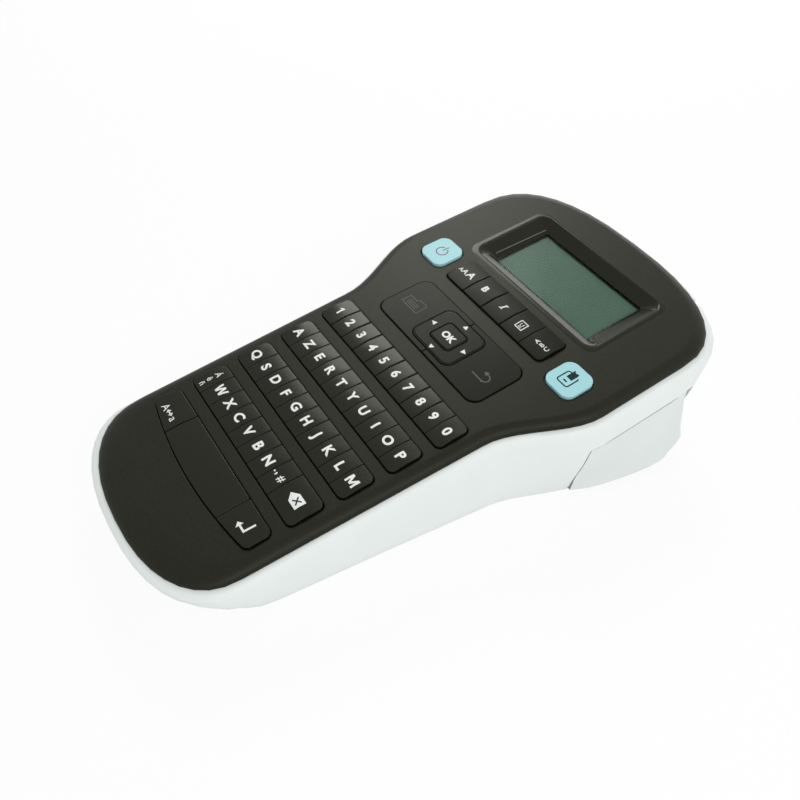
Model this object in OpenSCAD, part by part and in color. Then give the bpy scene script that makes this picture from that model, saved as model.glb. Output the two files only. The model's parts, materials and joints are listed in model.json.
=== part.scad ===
// Handheld label printer: a waisted, wedge-shaped two-shell housing with a full keyboard,
// a recessed display, a thermal print mechanism with its tape cassette, and a squeeze lever
// on the right wall that drives the cutter blade.
// Frame: +X to the user's right, +Y to the display end, +Z up, underside at z = 0.
// Everything on the face is drawn in the face's own tilted frame, see on_face().

/* [Housing] */
// Length of the face cover along its slope
face_l = 202.4; // [200:0.2:208]
// Width of the face cover at the grip end
grip_w = 72.4; // [68:0.2:76]
// Width of the face cover just before the waist opens out
waist_w = 79.2; // [74:0.2:84]
// Width of the face cover across the display head
head_w = 104; // [96:0.1:112]
// Distance from the face's grip end to the start of the flare
flare_start = 100.6; // [96:0.1:108]
// Length of the flare from waist to head
flare_l = 37; // [28:0.5:44]
// Length of the rounding at the grip end
grip_round = 22; // [18:0.5:28]
// Length of the rounding at the display end
head_round = 30; // [24:0.5:32]
// Fullness of the rounding at the grip end: 1 is an ellipse, less is squarer
grip_full = 0.85; // [0.8:0.01:1]
// The same at the display end
head_full = 0.8; // [0.75:0.01:1]
// Slope of the face over the underside, in degrees
tilt = 8; // [6:0.25:10]
// Height of the face above the underside, at the navigation pad
face_h = 39.2; // [37:0.1:44]
// Wall of the lower shell
wall = 2.2; // [1.6:0.1:3]
// Width of the underside at the grip end
base_grip_w = 72.5; // [69:0.5:76]
// Width of the underside where it starts to flare
base_waist_w = 88.5; // [85:0.5:92]
// Width of the underside at the display head
base_head_w = 108; // [104:0.5:110]
// How far the underside stops short of the face at the grip end
bow = 10; // [6:0.5:18]
// How far the underside stops short of the face at the display end
stern = 2.6; // [1:0.1:6]
// Radius that rounds the lower edge of the shell
foot_r = 4; // [3:0.5:5]
// How far the shoulder of the lower shell stands out past the face cover, at the sides
swell = 2.3; // [1.6:0.1:3]
// The same at the grip end
grip_swell = 3; // [2.6:0.1:4]
// The same at the display end
head_swell = 3.6; // [3:0.1:5]

/* [Face cover] */
// Thickness of the face plate
plate_t = 2.2; // [1.6:0.1:3]
// Depth of the rolled edge of the cover
edge_h = 2.6; // [2.4:0.1:3.4]
// Width of the rolled edge along the sides
roll_w = 4.6; // [3:0.1:7]
// Width of the rolled edge at the grip end
roll_grip = 11; // [6:0.5:16]
// Gap between the cover's edge and the shell's rim
seam = 0.3; // [0.1:0.05:0.6]

/* [Keys] */
// Clearance between a key and its opening or its neighbour
key_gap = 0.3; // [0.2:0.05:0.5]
// How far a key travels when pressed
key_travel = 0.8; // [0.5:0.05:1]
// Depth of one key along the face
key_d = 11.7; // [10:0.1:13]
// Distance from one key row to the next
row_pitch = 16.3; // [15:0.1:17]
// Near edge of the number row, measured from the navigation pad's datum
row_first = -30; // [-33:0.1:-27]
// Length of the number row
row_len_first = 68.7; // [64:0.1:70]
// Length of the last letter row
row_len_last = 64.3; // [60:0.1:66]
// Height of a key's edges above the face
key_edge_h = 0.5; // [0.2:0.05:1]
// Height of a key's ridge above the face
key_ridge_h = 1.1; // [0.8:0.05:1.6]
// How far a key's flange reaches under the cover
key_flange = 0.8; // [0.4:0.1:1.2]
// How far the lowest row's near edge bows towards the grip end
space_bow = 3.4; // [1:0.1:5]
// Length of the space bar
space_l = 35.8; // [30:0.1:40]

/* [Format keys and buttons] */
// Length of the row of format keys
format_l = 50.5; // [46:0.1:54]
// Depth of the format keys along the face
format_d = 12.3; // [10:0.1:13]
// Near edge of the format keys
format_near = 16.2; // [14:0.1:18]
// Width of the power and print buttons
button_w = 12; // [10:0.1:13]
// Depth of the power and print buttons along the face
button_d = 12.7; // [11:0.1:14]
// Distance of the power button from the middle
power_x = 35.7; // [34:0.1:38]
// Place of the power button along the face
power_y = 22.2; // [20:0.1:23]
// Distance of the print button from the middle
print_x = 36.6; // [34:0.1:38]
// Place of the print button along the face
print_y = 19.1; // [18:0.1:22]
// Corner radius of those buttons
button_r = 3.4; // [2:0.1:4.5]

/* [Navigation pad] */
// Width of the glossy panel of the menu and back keys
panel_w = 54; // [50:0.5:58]
// Depth of that panel along the face
panel_d = 21.6; // [20:0.1:23]
// Corner radius of that panel
panel_r = 4; // [2:0.1:5]
// Middle of the navigation pad along the face
nav_y = -1; // [-2:0.1:0]
// Width of the four-way ring
ring_w = 20.4; // [18:0.1:22]
// Depth of the four-way ring along the face
ring_d = 17.4; // [16:0.1:18.5]
// Width of the confirm button
ok_w = 10; // [8:0.1:11]
// Depth of the confirm button along the face
ok_d = 9; // [8:0.1:10]

/* [Display] */
// Width of the display recess at the face
recess_w = 61; // [56:0.5:66]
// Near edge of the display recess
recess_near = 33.4; // [32.5:0.1:35]
// Depth of the display recess along the face
recess_l = 33.9; // [32:0.1:35]
// How far the window lies below the face
recess_h = 3.6; // [2.6:0.1:4.2]
// Width of the window that shows
window_w = 49; // [46:0.5:54]
// Depth of the window that shows, along the face
window_l = 25; // [22:0.1:27]
// Middle of the window along the face
window_y = 51.2; // [50:0.1:52]
// Thickness of the window
window_t = 1.0; // [0.8:0.1:1.4]

/* [Cutter lever] */
// Near end of the lever on the right wall
lever_near = 34.5; // [32:0.5:37]
// Far end of the lever, at its lower edge
lever_far = 86; // [84:0.5:88]
// How much nearer the far end lies at the lever's top edge
lever_lean = 8; // [4:0.5:10]
// How far the lever's top edge lies below the face
lever_drop = 16; // [15:0.5:18]
// Height of the lever's lower edge above the underside
lever_foot = 3; // [2:0.5:5]
// How far the lever flares out of the wall at its free end
lever_flare = 6.2; // [4:0.1:8]
// Thickness of the lever
lever_t = 2.8; // [2:0.1:4]
// Gap around the lever
lever_gap = 0.5; // [0.3:0.1:1]
// Radius of the lever's pivot pin
pin_r = 1.5; // [1:0.1:2]
// Running clearance on pins and shafts, on the radius
run_gap = 0.05; // [0.02:0.01:0.1]

/* [Print mechanism] */
// Module of the gear teeth
gear_m = 0.6; // [0.5:0.05:0.6]
// Teeth of the motor pinion
motor_teeth = 16; // [14:1:18]
// Teeth of the reduction gear's wheel
wheel_teeth = 30; // [26:1:30]
// Teeth of the reduction gear's pinion
small_teeth = 16; // [14:1:18]
// Teeth of the platen gear
platen_teeth = 24; // [22:1:26]
// Radius of the platen roller
platen_r = 4.5; // [3.5:0.1:5]
// Radius of the motor can
motor_r = 8; // [6.5:0.1:8.5]
// Height of the motor can
motor_h = 19.5; // [16:0.1:20.5]
// Height of the mechanism plate's underside above the base
deck_z = 24; // [23.5:0.1:25]
// Thickness of the mechanism plate
deck_t = 1.5; // [1:0.1:2]
// Width of the tape cassette
cassette_w = 41; // [38:0.5:42]
// Length of the tape cassette
cassette_l = 52; // [50:0.5:53]
// Height of the tape cassette
cassette_h = 18.5; // [16:0.1:19]
// Wall of the tape cassette
cassette_wall = 1.2; // [0.8:0.1:1.6]
// Width of the label tape
tape_w = 12; // [9:0.5:13]

/* [Batteries and covers] */
// Radius of one AAA cell
cell_r = 5.25; // [5:0.05:5.3]
// Length of one AAA cell
cell_l = 44.5; // [43.5:0.1:44.6]
// Spacing of the cells
cell_pitch = 10.7; // [10.6:0.05:10.8]
// Thickness of the two covers on the underside
cover_t = 1.6; // [1.2:0.1:2]
// How far the covers sit above the underside
cover_lift = 0.4; // [0.2:0.1:0.6]
// Gap around the covers
cover_gap = 0.4; // [0.3:0.05:0.6]
// Thickness of the circuit board
board_t = 1.6; // [1:0.1:2]

/* [Hidden] */
$fn = 48;
eps = 0.01;
// How far cutting shapes reach past what they cut, and how deep joined shapes of one piece overlap
over = 1;
bite = 0.5;
// Taller than the whole part, for cuts that run right through it
tall = 2 * face_h;

// Face frame: its datum lies near the navigation pad, where the face is face_h above the base.
face_near = -118;
face_far = face_near + face_l;
face_y = 16.3;
flare_y = face_near + flare_start;

// Rows of keys: four rows of small keys and the space bar's row.
row_names = ["number", "top", "home", "bottom"];
small_keys = [10, 10, 10, 8];
slots_per_row = 10;
row_taper = (row_len_first - row_len_last) / 3;
flange_gap = 0.2;
flange_t = 0.9;
flange_top = -plate_t - flange_gap;
key_low = flange_top - flange_t;
key_r = 2;
mat_top = key_low - key_travel - key_gap;
board_top = -7.4;
mat_t = 1;

// Housing of the mechanism, in the base frame.
pin_inset = 10;
pin_past = 11.5;
lever_pin_at = [base_head_w / 2 - pin_inset, lever_near + pin_past];
// A squeeze of the lever turns it about its pin and also carries its free end a little outwards
lever_swing = 7;
lever_creep = (base_head_w / 2 + lever_flare - lever_pin_at[0]) * sin(lever_swing);
deck_top = deck_z + deck_t;
cassette_y = 9;
// The platen keeps its distance from the right edge and from the cassette's far end
platen_inset = 15.6;
platen_past = 6;
platen_at = [base_head_w / 2 - platen_inset, cassette_y + cassette_l + platen_past];
// Directions of the gear train, from the platen to the idler and from there to the motor
idler_turn = 160;
motor_turn = 175;
idler_at = platen_at + gear_m * (small_teeth + platen_teeth) / 2 * [cos(idler_turn), sin(idler_turn)];
motor_at = idler_at + gear_m * (motor_teeth + wheel_teeth) / 2 * [cos(motor_turn), sin(motor_turn)];
shaft_r = 1.5;
gear_t = 3;
// Side clearance of pieces that turn or slide past each other
side_gap = 0.3;
wheel_lift = 0.8;
wheel_z = deck_top + wheel_lift;
small_z = wheel_z + gear_t + side_gap;
tape_gap = 0.3;
cassette_gap = 0.8;
door_gap = 0.9;
tape_x = platen_at[0] - platen_r - tape_gap;
cassette_x = tape_x - cassette_gap - cassette_w;
cassette_z = cover_lift + cover_t + door_gap;
tape_z = cassette_z + (cassette_h - tape_w) / 2;
// The tape roll is the largest that leaves room for the ribbon spool and for the cassette's walls
roll_margin = 2.5;
roll_gap = 0.6;
spool_r = 7;
spool_margin = 3.5;
spool_x = 9.5;
roll_room = cassette_l - roll_margin - spool_margin;
roll_side = cassette_w / 2 - spool_x;
roll_by_length = (roll_room * roll_room + roll_side * roll_side - roll_gap * roll_gap)
    / (2 * (roll_room + roll_gap)) - spool_r;
roll_r = min(roll_by_length, cassette_w / 2 - cassette_wall - roll_gap);
roll_at = [cassette_x + cassette_w / 2, cassette_y + roll_margin + roll_r];
spool_at = [cassette_x + spool_x, cassette_y + cassette_l - spool_margin - spool_r];
hub_r = 4;
// The cutter stands past the platen; its holder is a little way from the tape
cutter_past = 12;
blade_y = platen_at[1] + cutter_past;
blade_t = 0.5;
holder_t = 3;
holder_w = 6.8;
holder_gap = 3.2;
holder_lift = 2.8;
holder_x = [tape_x + holder_gap, tape_x + holder_gap + holder_w];
holder_low = wall + holder_lift;

// Covers on the underside: [low x, high x, low y, high y] of each opening.
door_margin = 2;
door_reach = [3, 14];
door_open = [cassette_x - door_margin, cassette_x + cassette_w + door_reach[0],
    cassette_y - door_margin, cassette_y + cassette_l + door_reach[1]];
cells = 6;
bay_gap = 0.5;
bay_half = cell_pitch * cells / 2 + bay_gap;
bay_near = -68.2;
// Room for the contacts at the near and the far end of the cells
cell_room = [2.5, 2.9];
bay_l = cell_l + cell_room[0] + cell_room[1];
bay_open = [-bay_half, bay_half, bay_near, bay_near + bay_l];
cell_lift = 0.3;
bay_top = cover_lift + cover_t + 2 * (cell_r + cell_lift);
hinge_wall = 0.4;
hinge_r = cover_t / 2 + hinge_wall;
hinge_pin_r = 0.7;
hinge_pin_l = 2;

// Screws that hold the two shells together, and posts that carry the mechanism plate.
screw_r = 1.3;
screw_head_r = 2.5;
screw_at = [[0, -83.2], [-35.4, 8], [-38, 74]];
boss_r = 3;
post_r = 2.6;
post_x = [door_open[0] - 3.6, door_open[1] + 2.2, platen_at[0] - 13.9];
post_at = [[post_x[0], 4], [post_x[1], 3], [post_x[0], blade_y - 1], [post_x[2], blade_y + 1]];
// Posts under the face cover for the circuit board, between the rows of keys and beside the display
board_post_r = 1.3;
board_post_at = [[33, -64.9], [33, -14], [43, 31], [42, 48]];
board_posts = [for (p = board_post_at, side = [-1, 1]) [side * p[0], p[1]]];

// Frames and small helpers

module on_face() translate([0, face_y, face_h]) rotate([tilt, 0, 0]) children();

// A point of the face frame, written in the base frame
function from_face(p) = [p[0],
    face_y + p[1] * cos(tilt) - p[2] * sin(tilt),
    face_h + p[1] * sin(tilt) + p[2] * cos(tilt)];
function face_z(y) = face_h + (y - face_y) * tan(tilt);
function clamp01(u) = min(1, max(0, u));
function ease(u) = let(v = clamp01(u)) 3 * v * v - 2 * v * v * v;
function mix(a, b, u) = a + (b - a) * u;

// A prism along X whose outline is given in Y and Z
module along_x(x0, x1) translate([x0, 0, 0]) rotate([90, 0, 90]) linear_extrude(x1 - x0) children();

module rounded(w, d, r) {
    square([w - 2 * r, d], center = true);
    square([w, d - 2 * r], center = true);
    for (x = [-1, 1], y = [-1, 1]) translate([x * (w / 2 - r), y * (d / 2 - r)]) circle(r);
}

// Outlines and lofts

end_steps = 9;
straight_steps = 3;
flare_steps = 10;

// Evenly spaced places from a to b, without a itself
function stations(a, b, steps) = [for (i = [1 : steps]) mix(a, b, i / steps)];

// A point of a quarter of a full ellipse with unit axes
function full_at(a, full) = [pow(abs(sin(a)), full), 1 - pow(abs(cos(a)), full)];

// Closed outline from a half width that varies along Y, with rounded ends; flare is [start, length]
function outline(near, far, near_r, far_r, flare, half) =
    let(right = concat(
            [for (i = [0 : end_steps]) let(p = full_at(90 * i / end_steps, grip_full), y = near + near_r * p[1])
                [half(y) * p[0], y]],
            [for (y = concat(
                    stations(near + near_r, flare[0], straight_steps),
                    stations(flare[0], flare[0] + flare[1], flare_steps),
                    stations(flare[0] + flare[1], far - far_r, straight_steps)))
                [half(y), y]],
            [for (i = [1 : end_steps]) let(p = full_at(90 - 90 * i / end_steps, head_full), y = far - far_r * p[1])
                [half(y) * p[0], y]]),
        left = [for (i = [len(right) - 2 : -1 : 1]) [-right[i][0], right[i][1]]])
    concat(right, left);

// Half width of a waisted body: even from the near end to the flare, then eased out to the head
function waisted(y, near, flare, length, widths) = y < flare
    ? mix(widths[0], widths[1], (y - near) / (flare - near)) / 2
    : mix(widths[1], widths[2], ease((y - flare) / length)) / 2;

function face_half(y) = waisted(y, face_near, flare_y, flare_l, [grip_w, waist_w, head_w]);

base_near = from_face([0, face_near, -edge_h])[1] + bow;
base_far = from_face([0, face_far, -edge_h])[1] - stern;
base_flare_y = 4;
base_flare_l = 40;
function base_half(y) =
    waisted(y, base_near, base_flare_y, base_flare_l, [base_grip_w, base_waist_w, base_head_w]);

// The face's outline drawn in by one distance at the sides, the grip end and the display end
function face_outline(side, grip, head) = outline(face_near + grip, face_far - head,
    grip_round, head_round, [flare_y, flare_l], function(y) face_half(y) - side);

function base_outline(side, grip, head) = outline(base_near + grip, base_far - head,
    grip_round, head_round, [base_flare_y, base_flare_l], function(y) base_half(y) - side);

// A ring of the lower shell: u runs from the underside to the rim; the ring is drawn in by inset
// and pushed out by a share of the swell
function shell_ring(u, inset, out, floor_z) =
    let(side = inset - out * swell, grip = inset - out * grip_swell, head = inset - out * head_swell,
        low = base_outline(side, grip, head), high = face_outline(side, grip, head))
    [for (i = [0 : len(low) - 1])
        mix([low[i][0], low[i][1], floor_z], from_face([high[i][0], high[i][1], -edge_h - seam]), u)];

function face_ring(side, grip, head, z) = [for (p = face_outline(side, grip, head)) [p[0], p[1], z]];

// A closed solid through a stack of rings with equal numbers of points
module skin(rings) {
    n = len(rings[0]);
    polyhedron(
        points = [for (ring = rings) each ring],
        faces = concat(
            [[for (i = [0 : n - 1]) i]],
            [[for (i = [n - 1 : -1 : 0]) (len(rings) - 1) * n + i]],
            [for (k = [0 : len(rings) - 2], i = [0 : n - 1])
                [k * n + i, (k + 1) * n + i, (k + 1) * n + (i + 1) % n]],
            [for (k = [0 : len(rings) - 2], i = [0 : n - 1])
                [k * n + i, (k + 1) * n + (i + 1) % n, k * n + (i + 1) % n]]));
}

// Lower shell

foot_steps = 3;
shoulder_steps = 3;
foot_u = 0.24;
shoulder_u = 0.1;

// Share of the swell up the outer wall and up the inner wall, against u
wall_out = [[foot_u, 0], [0.47, 0.6], [0.7, 0.9], [1 - shoulder_u, 1]];
cavity_out = [[0, 0], [0.12, 0], [0.28, 0.05], [0.6, 0.7], [0.85, 0.85], [1, 0]];

// How far the foot starts below the underside, as a share of the height; a flat cut takes it off
foot_trim = 0.004;
// Outer wall from the underside to the rim, as [u, inset, share of the swell]: a rounded foot,
// a leaning wall and a rounded shoulder that turns in to the seam
wall_profile = concat(
    [for (i = [0 : foot_steps]) let(a = 90 * i / foot_steps)
        [mix(-foot_trim, foot_u, 1 - cos(a)), foot_r * (1 - sin(a)), 0]],
    [for (i = [1, 2]) [wall_out[i][0], 0, wall_out[i][1]]],
    [for (i = [0 : shoulder_steps]) let(a = 90 * i / shoulder_steps)
        [1 - shoulder_u * (1 - sin(a)), 0, cos(a)]]);

// What stands on the floor starts inside the floor's thickness
sunk = wall / 2;
// The wall's skin ends inside the floor as well, and a flat slab makes the floor's top
skin_floor = wall * 0.75;
slab_low = wall * 0.3;
slab_inset = wall + foot_r / 2;

// The wall is one skin: up the outside, in over the rim and down the inside to the floor
module shell_wall() skin(concat(
    [for (p = wall_profile) shell_ring(p[0], p[1], p[2], 0)],
    [for (i = [len(cavity_out) - 1 : -1 : 0]) let(p = cavity_out[i])
        shell_ring(p[0], wall + foot_r * (1 - clamp01(p[0] / foot_u)), p[1], skin_floor)]));

module floor_slab() translate([0, 0, slab_low]) linear_extrude(wall - slab_low)
    polygon(base_outline(slab_inset, slab_inset, slab_inset));
module below_base() translate([-face_l, -face_l, -wall]) cube([2 * face_l, 2 * face_l, wall]);
// Height at which the screw bosses of the two shells meet
split_z = 12;
hinge_boss_l = 4;
hinge_boss_w = 5;
hinge_boss_roof = 2;
hinge_end_gap = 0.3;
module hinge_bosses(open, y) for (x = [open[0] - hinge_boss_l, open[1]])
    translate([x, y - hinge_boss_w / 2, sunk])
        cube([hinge_boss_l, hinge_boss_w, cover_lift + 2 * hinge_r + hinge_boss_roof - sunk]);

module hinge_bores(open, y) let(reach = hinge_pin_l + hinge_end_gap)
    translate([open[0] - reach, y, cover_lift + hinge_r]) rotate([0, 90, 0])
        cylinder(r = hinge_pin_r + run_gap, h = open[1] - open[0] + 2 * reach);

door_hinge_y = door_open[2] + cover_gap + hinge_r;
bay_hinge_y = bay_open[3] - cover_gap - hinge_r;

bay_wall = 1.5;
post_pin_r = 1.4;
post_pin_past = 0.4;
barrel_wall = 1.5;
barrel_seat = 2;
// Rib that carries the lever's return spring, between the lever's pivot and the platen
rib_t = 1.6;
rib_h = 16;
rib_in = 3.6;
rib_from_pin = 6;
rib_from_platen = 1.5;
rib_at = [lever_pin_at[0] - rib_in, lever_pin_at[1] + rib_from_pin];
rib_size = [rib_t, platen_at[1] - platen_r - rib_from_platen - rib_at[1], rib_h];

// Solids that stand inside the lower shell
module shell_inside() {
    floor_slab();
    translate([-bay_half - bay_wall, bay_near - bay_wall, sunk])
        cube([2 * (bay_half + bay_wall), bay_l + 2 * bay_wall, bay_top + bay_wall - sunk]);
    for (p = post_at) translate([p[0], p[1], sunk]) {
        cylinder(r = post_r, h = deck_z - sunk);
        cylinder(r = post_pin_r, h = deck_top + post_pin_past - sunk);
    }
    for (p = screw_at) translate([p[0], p[1], sunk]) cylinder(r = boss_r, h = split_z - sunk);
    hinge_bosses(door_open, door_hinge_y);
    translate([lever_pin_at[0], lever_pin_at[1], sunk])
        cylinder(r = pin_r + barrel_wall, h = wall + barrel_seat - sunk);
    translate([rib_at[0], rib_at[1], sunk]) cube(rib_size - [0, 0, sunk]);
}

// Window in the right wall for the lever; past its middle it reaches in as far as the blade holder
gap_out = 2.4;
deep_past = 22;
module lever_window(grow) let(far = lever_far + lever_creep + grow)
    for (cut = [[lever_near - grow, lever_pin_at[0] + gap_out], [lever_pin_at[1] + deep_past, holder_x[0]]])
        along_x(cut[1], base_head_w) polygon([
            [cut[0], lever_foot - grow],
            [far, lever_foot - grow],
            [far - lever_lean, face_z(far - lever_lean) - lever_drop + grow],
            [cut[0], face_z(cut[0]) - lever_drop + grow]]);

module shell_openings() {
    below_base();
    translate([door_open[0], door_open[2], -over])
        cube([door_open[1] - door_open[0], door_open[3] - door_open[2], wall + over + eps]);
    translate([bay_open[0], bay_open[2], -over]) cube([2 * bay_half, bay_l, bay_top + over]);
    hinge_bores(door_open, door_hinge_y);
    hinge_bores(bay_open, bay_hinge_y);
    screw_holes();
    translate([lever_pin_at[0], lever_pin_at[1], wall]) cylinder(r = pin_r, h = 2 * barrel_seat);
    lever_window(lever_gap);
    label_slot();
}

screw_gap = 0.1;
screw_sink = 3;
module screw_holes() for (p = screw_at) translate([p[0], p[1], -over]) {
    cylinder(r = screw_r + screw_gap, h = split_z + 2 * over);
    cylinder(r = screw_head_r + 2 * screw_gap, h = screw_sink + over);
}

// The label leaves through a slot that is open to the seam at the display end
slot_w = 3.2;
slot_past = 3;
slot_drop = 2;
module label_slot() translate([tape_x - slot_w / 2, blade_y + slot_past, tape_z - slot_drop])
    cube([slot_w, 2 * head_round, tall]);

module lower_shell() color("whitesmoke") difference() {
    union() {
        shell_wall();
        shell_inside();
    }
    shell_openings();
}

// Face cover

roll_steps = 6;

// How far the rolled edge reaches past the face and past its rim, before flat cuts take that off
roll_trim = 0.05;
// The rolled edge from its rim up to the face, as [share of the roll's width, z]
roll_profile = [for (i = [0 : roll_steps]) let(a = 90 * i / roll_steps)
    [1 - cos(a), mix(-edge_h - roll_trim, roll_trim, sin(a))]];

module cover_outside() skin([for (p = roll_profile)
    face_ring(roll_w * p[0], roll_grip * p[0], roll_w * p[0], p[1])]);
module flat_cut(z) translate([-face_l, -face_l, z]) cube([2 * face_l, 2 * face_l, edge_h]);

lip_gap = 0.25;
lip_inset = wall + lip_gap;
lip_t = 1.4;
lip_h = 1.8;
module face_slab(inset, z0, z1) translate([0, 0, z0]) linear_extrude(z1 - z0)
    polygon(face_outline(inset, inset, inset));

function row_near(r) = row_first - r * row_pitch;
function row_half(r) = (row_len_first - r * row_taper) / 2;

// Outline of a whole row of keys, grown by the clearance where it is an opening
module row_shape(r, grow) translate([0, row_near(r) + key_d / 2])
    rounded(2 * (row_half(r) + grow), key_d + 2 * grow, key_r);

// The lowest row has straight far corners and a near edge that bows towards the grip end
function space_edge(x) = row_near(4) + space_bow * pow(x / row_half(4), 2);
bow_steps = 16;
module space_shape(grow) offset(delta = grow) offset(r = key_r) offset(delta = -key_r) polygon(concat(
    [for (i = [0 : bow_steps]) let(x = mix(-row_half(4), row_half(4), i / bow_steps)) [x, space_edge(x)]],
    [[row_half(4), row_near(4) + key_d], [-row_half(4), row_near(4) + key_d]]));

module format_shape(grow) translate([0, format_near + format_d / 2])
    rounded(format_l + 2 * grow, format_d + 2 * grow, key_r);

function button_at(side) = side < 0 ? [-power_x, power_y] : [print_x, print_y];
module button_shape(side, grow) translate(button_at(side))
    rounded(button_w + 2 * grow, button_d + 2 * grow, button_r);

module panel_shape(grow) translate([0, nav_y]) rounded(panel_w + 2 * grow, panel_d + 2 * grow, panel_r);

module through(z0, z1) translate([0, 0, z0]) linear_extrude(z1 - z0) children();

module key_openings() through(board_top, over) {
    for (r = [0 : 3]) row_shape(r, key_gap);
    space_shape(key_gap);
    format_shape(key_gap);
    for (side = [-1, 1]) button_shape(side, key_gap);
    panel_shape(key_gap);
}

// Funnel of the display recess, from the face down to the window
funnel_over = 0.5;
module recess_funnel() hull() {
    translate([0, recess_near + recess_l / 2, funnel_over]) linear_extrude(eps, center = true)
        square([recess_w + 2 * funnel_over, recess_l + 2 * funnel_over], center = true);
    translate([0, window_y, -recess_h]) linear_extrude(eps, center = true)
        square([window_w, window_l], center = true);
}

window_lip = 1.5;
window_gap = 0.15;
frame_wall = 1.5;
frame_drop = 0.4;
module display_frame()
    translate([-recess_w / 2 - frame_wall, recess_near - frame_wall, -recess_h - window_t - frame_drop])
        cube([recess_w + 2 * frame_wall, recess_l + 2 * frame_wall, recess_h + window_t]);

module window_block(grow, z0, z1) translate([0, window_y, 0]) through(z0, z1)
    square([window_w + 2 * window_lip + 2 * grow, window_l + 2 * window_lip + 2 * grow], center = true);

cover_boss_r = 2.4;
pilot_l = 8;
module top_cover() color("#24241f") {
    difference() {
        union() {
            on_face() difference() {
                cover_outside();
                flat_cut(-2 * edge_h);
                face_slab(lip_inset + lip_t, -edge_h - over, -plate_t);
            }
            on_face() difference() {
                face_slab(lip_inset, -edge_h - lip_h, -plate_t);
                face_slab(lip_inset + lip_t, -edge_h - lip_h - over, 0);
            }
            on_face() display_frame();
            on_face() for (p = board_posts) translate([p[0], p[1], board_top])
                cylinder(r = board_post_r, h = -plate_t - board_top + bite);
            for (p = screw_at) translate([p[0], p[1], split_z + seam])
                cylinder(r = cover_boss_r, h = face_z(p[1]) - plate_t - split_z - seam + bite);
        }
        on_face() flat_cut(0);
        on_face() key_openings();
        on_face() recess_funnel();
        on_face() window_block(window_gap, -recess_h - window_t - over, -recess_h);
        on_face() window_block(-window_lip, -recess_h - over, -recess_h + window_gap);
        for (p = screw_at) translate([p[0], p[1], split_z - over]) cylinder(r = screw_r, h = pilot_l + over);
    }
}

// Keys

// A key's top rises from its edges to a ridge across its middle
module key_body(y0, y1, edge, ridge) along_x(-head_w / 2, head_w / 2) polygon([
    [y0, key_low], [y1, key_low], [y1, edge], [mix(y0, y1, 0.5), ridge], [y0, edge]]);

// A slice of a row of keys between two places along X, with its flange under the cover
module row_key(x0, x1, y0, y1, edge, ridge) on_face() {
    intersection() {
        key_body(y0, y1, edge, ridge);
        through(key_low - over, ridge + over) children();
        translate([x0, y0 - key_d, -key_d]) cube([x1 - x0, y1 - y0 + 2 * key_d, 2 * key_d]);
    }
    translate([x0, y0 - key_flange, key_low]) cube([x1 - x0, y1 - y0 + 2 * key_flange, flange_t]);
}

function slot_x(r, i) = mix(-row_half(r), row_half(r), i / slots_per_row);

module small_key(r, i, wide = 1) row_key(
        slot_x(r, i) + (i == 0 ? 0 : key_gap / 2),
        slot_x(r, i + wide) - (i + wide == slots_per_row ? 0 : key_gap / 2),
        row_near(r), row_near(r) + key_d, key_edge_h, key_ridge_h) row_shape(r, 0);

module digit_key(i) color("#1d1d1b") small_key(0, i);
module letter_row(r) color("#1d1d1b") for (i = [0 : small_keys[r] - 1]) small_key(r, i);
module backspace_key() color("#1d1d1b") small_key(3, 8, 2);

space_drop = 0.2;
module space_row_key(x0, x1) color("#1d1d1b")
    row_key(x0, x1, row_near(4), row_near(4) + key_d, key_edge_h, key_ridge_h - space_drop)
        space_shape(0);
module caps_key() space_row_key(-row_half(4), -space_l / 2 - key_gap / 2);
module space_key() space_row_key(-space_l / 2 + key_gap / 2, space_l / 2 - key_gap / 2);
module enter_key() space_row_key(space_l / 2 + key_gap / 2, row_half(4));

format_keys = 5;
function format_x(i) = mix(-format_l, format_l, i / format_keys) / 2;
module format_key(i) color("#1d1d1b") row_key(
        format_x(i) + (i == 0 ? 0 : key_gap / 2),
        format_x(i + 1) - (i + 1 == format_keys ? 0 : key_gap / 2),
        format_near, format_near + format_d, key_edge_h, key_ridge_h) format_shape(0);

// Height of the buttons over the face
button_h = 0.8;
module blue_button(side) color("#a5e3e8") on_face() {
    through(key_low, button_h) button_shape(side, 0);
    through(key_low, flange_top) button_shape(side, key_flange);
}

// Menu and back keys: the two halves of the glossy panel round the four-way ring
panel_h = 0.35;
ring_r = 3.2;
module panel_key(side) color("#161615") on_face() difference() {
    union() {
        through(key_low, panel_h) panel_half(side, 0);
        through(key_low, flange_top) panel_half(side, key_flange);
    }
    through(board_top, panel_h + over) translate([0, nav_y])
        rounded(ring_w + 2 * key_gap, ring_d + 2 * key_gap, ring_r + key_gap);
}
module panel_half(side, grow) intersection() {
    panel_shape(grow);
    translate([side * (panel_w / 2 + key_gap / 2), nav_y]) square([panel_w, 2 * panel_d], center = true);
}

// The ring rocks on two half-round feet that rest on ridges of the mat
ring_edge_h = 0.4;
ring_top_h = 0.6;
ring_step = 0.5;
ok_r = 1.5;
ok_edge_h = 0.55;
ok_top_h = 0.8;
ok_step = 0.4;
rock_r = 0.9;
rock_l = 2.6;
rock_x = (ring_w + ok_w) / 4 + key_gap / 2;
module nav_ring() color("#1b1b19") on_face() translate([0, nav_y]) difference() {
    union() {
        through(key_low, ring_edge_h) rounded(ring_w, ring_d, ring_r);
        through(ring_edge_h, ring_top_h)
            rounded(ring_w - 2 * ring_step, ring_d - 2 * ring_step, ring_r - ring_step);
        for (side = [-1, 1]) translate([side * rock_x - rock_l / 2, 0, key_low]) rotate([0, 90, 0])
            cylinder(r = rock_r, h = rock_l);
    }
    through(board_top, ring_top_h + over) rounded(ok_w + 2 * key_gap, ok_d + 2 * key_gap, ok_r + key_gap);
}

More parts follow.
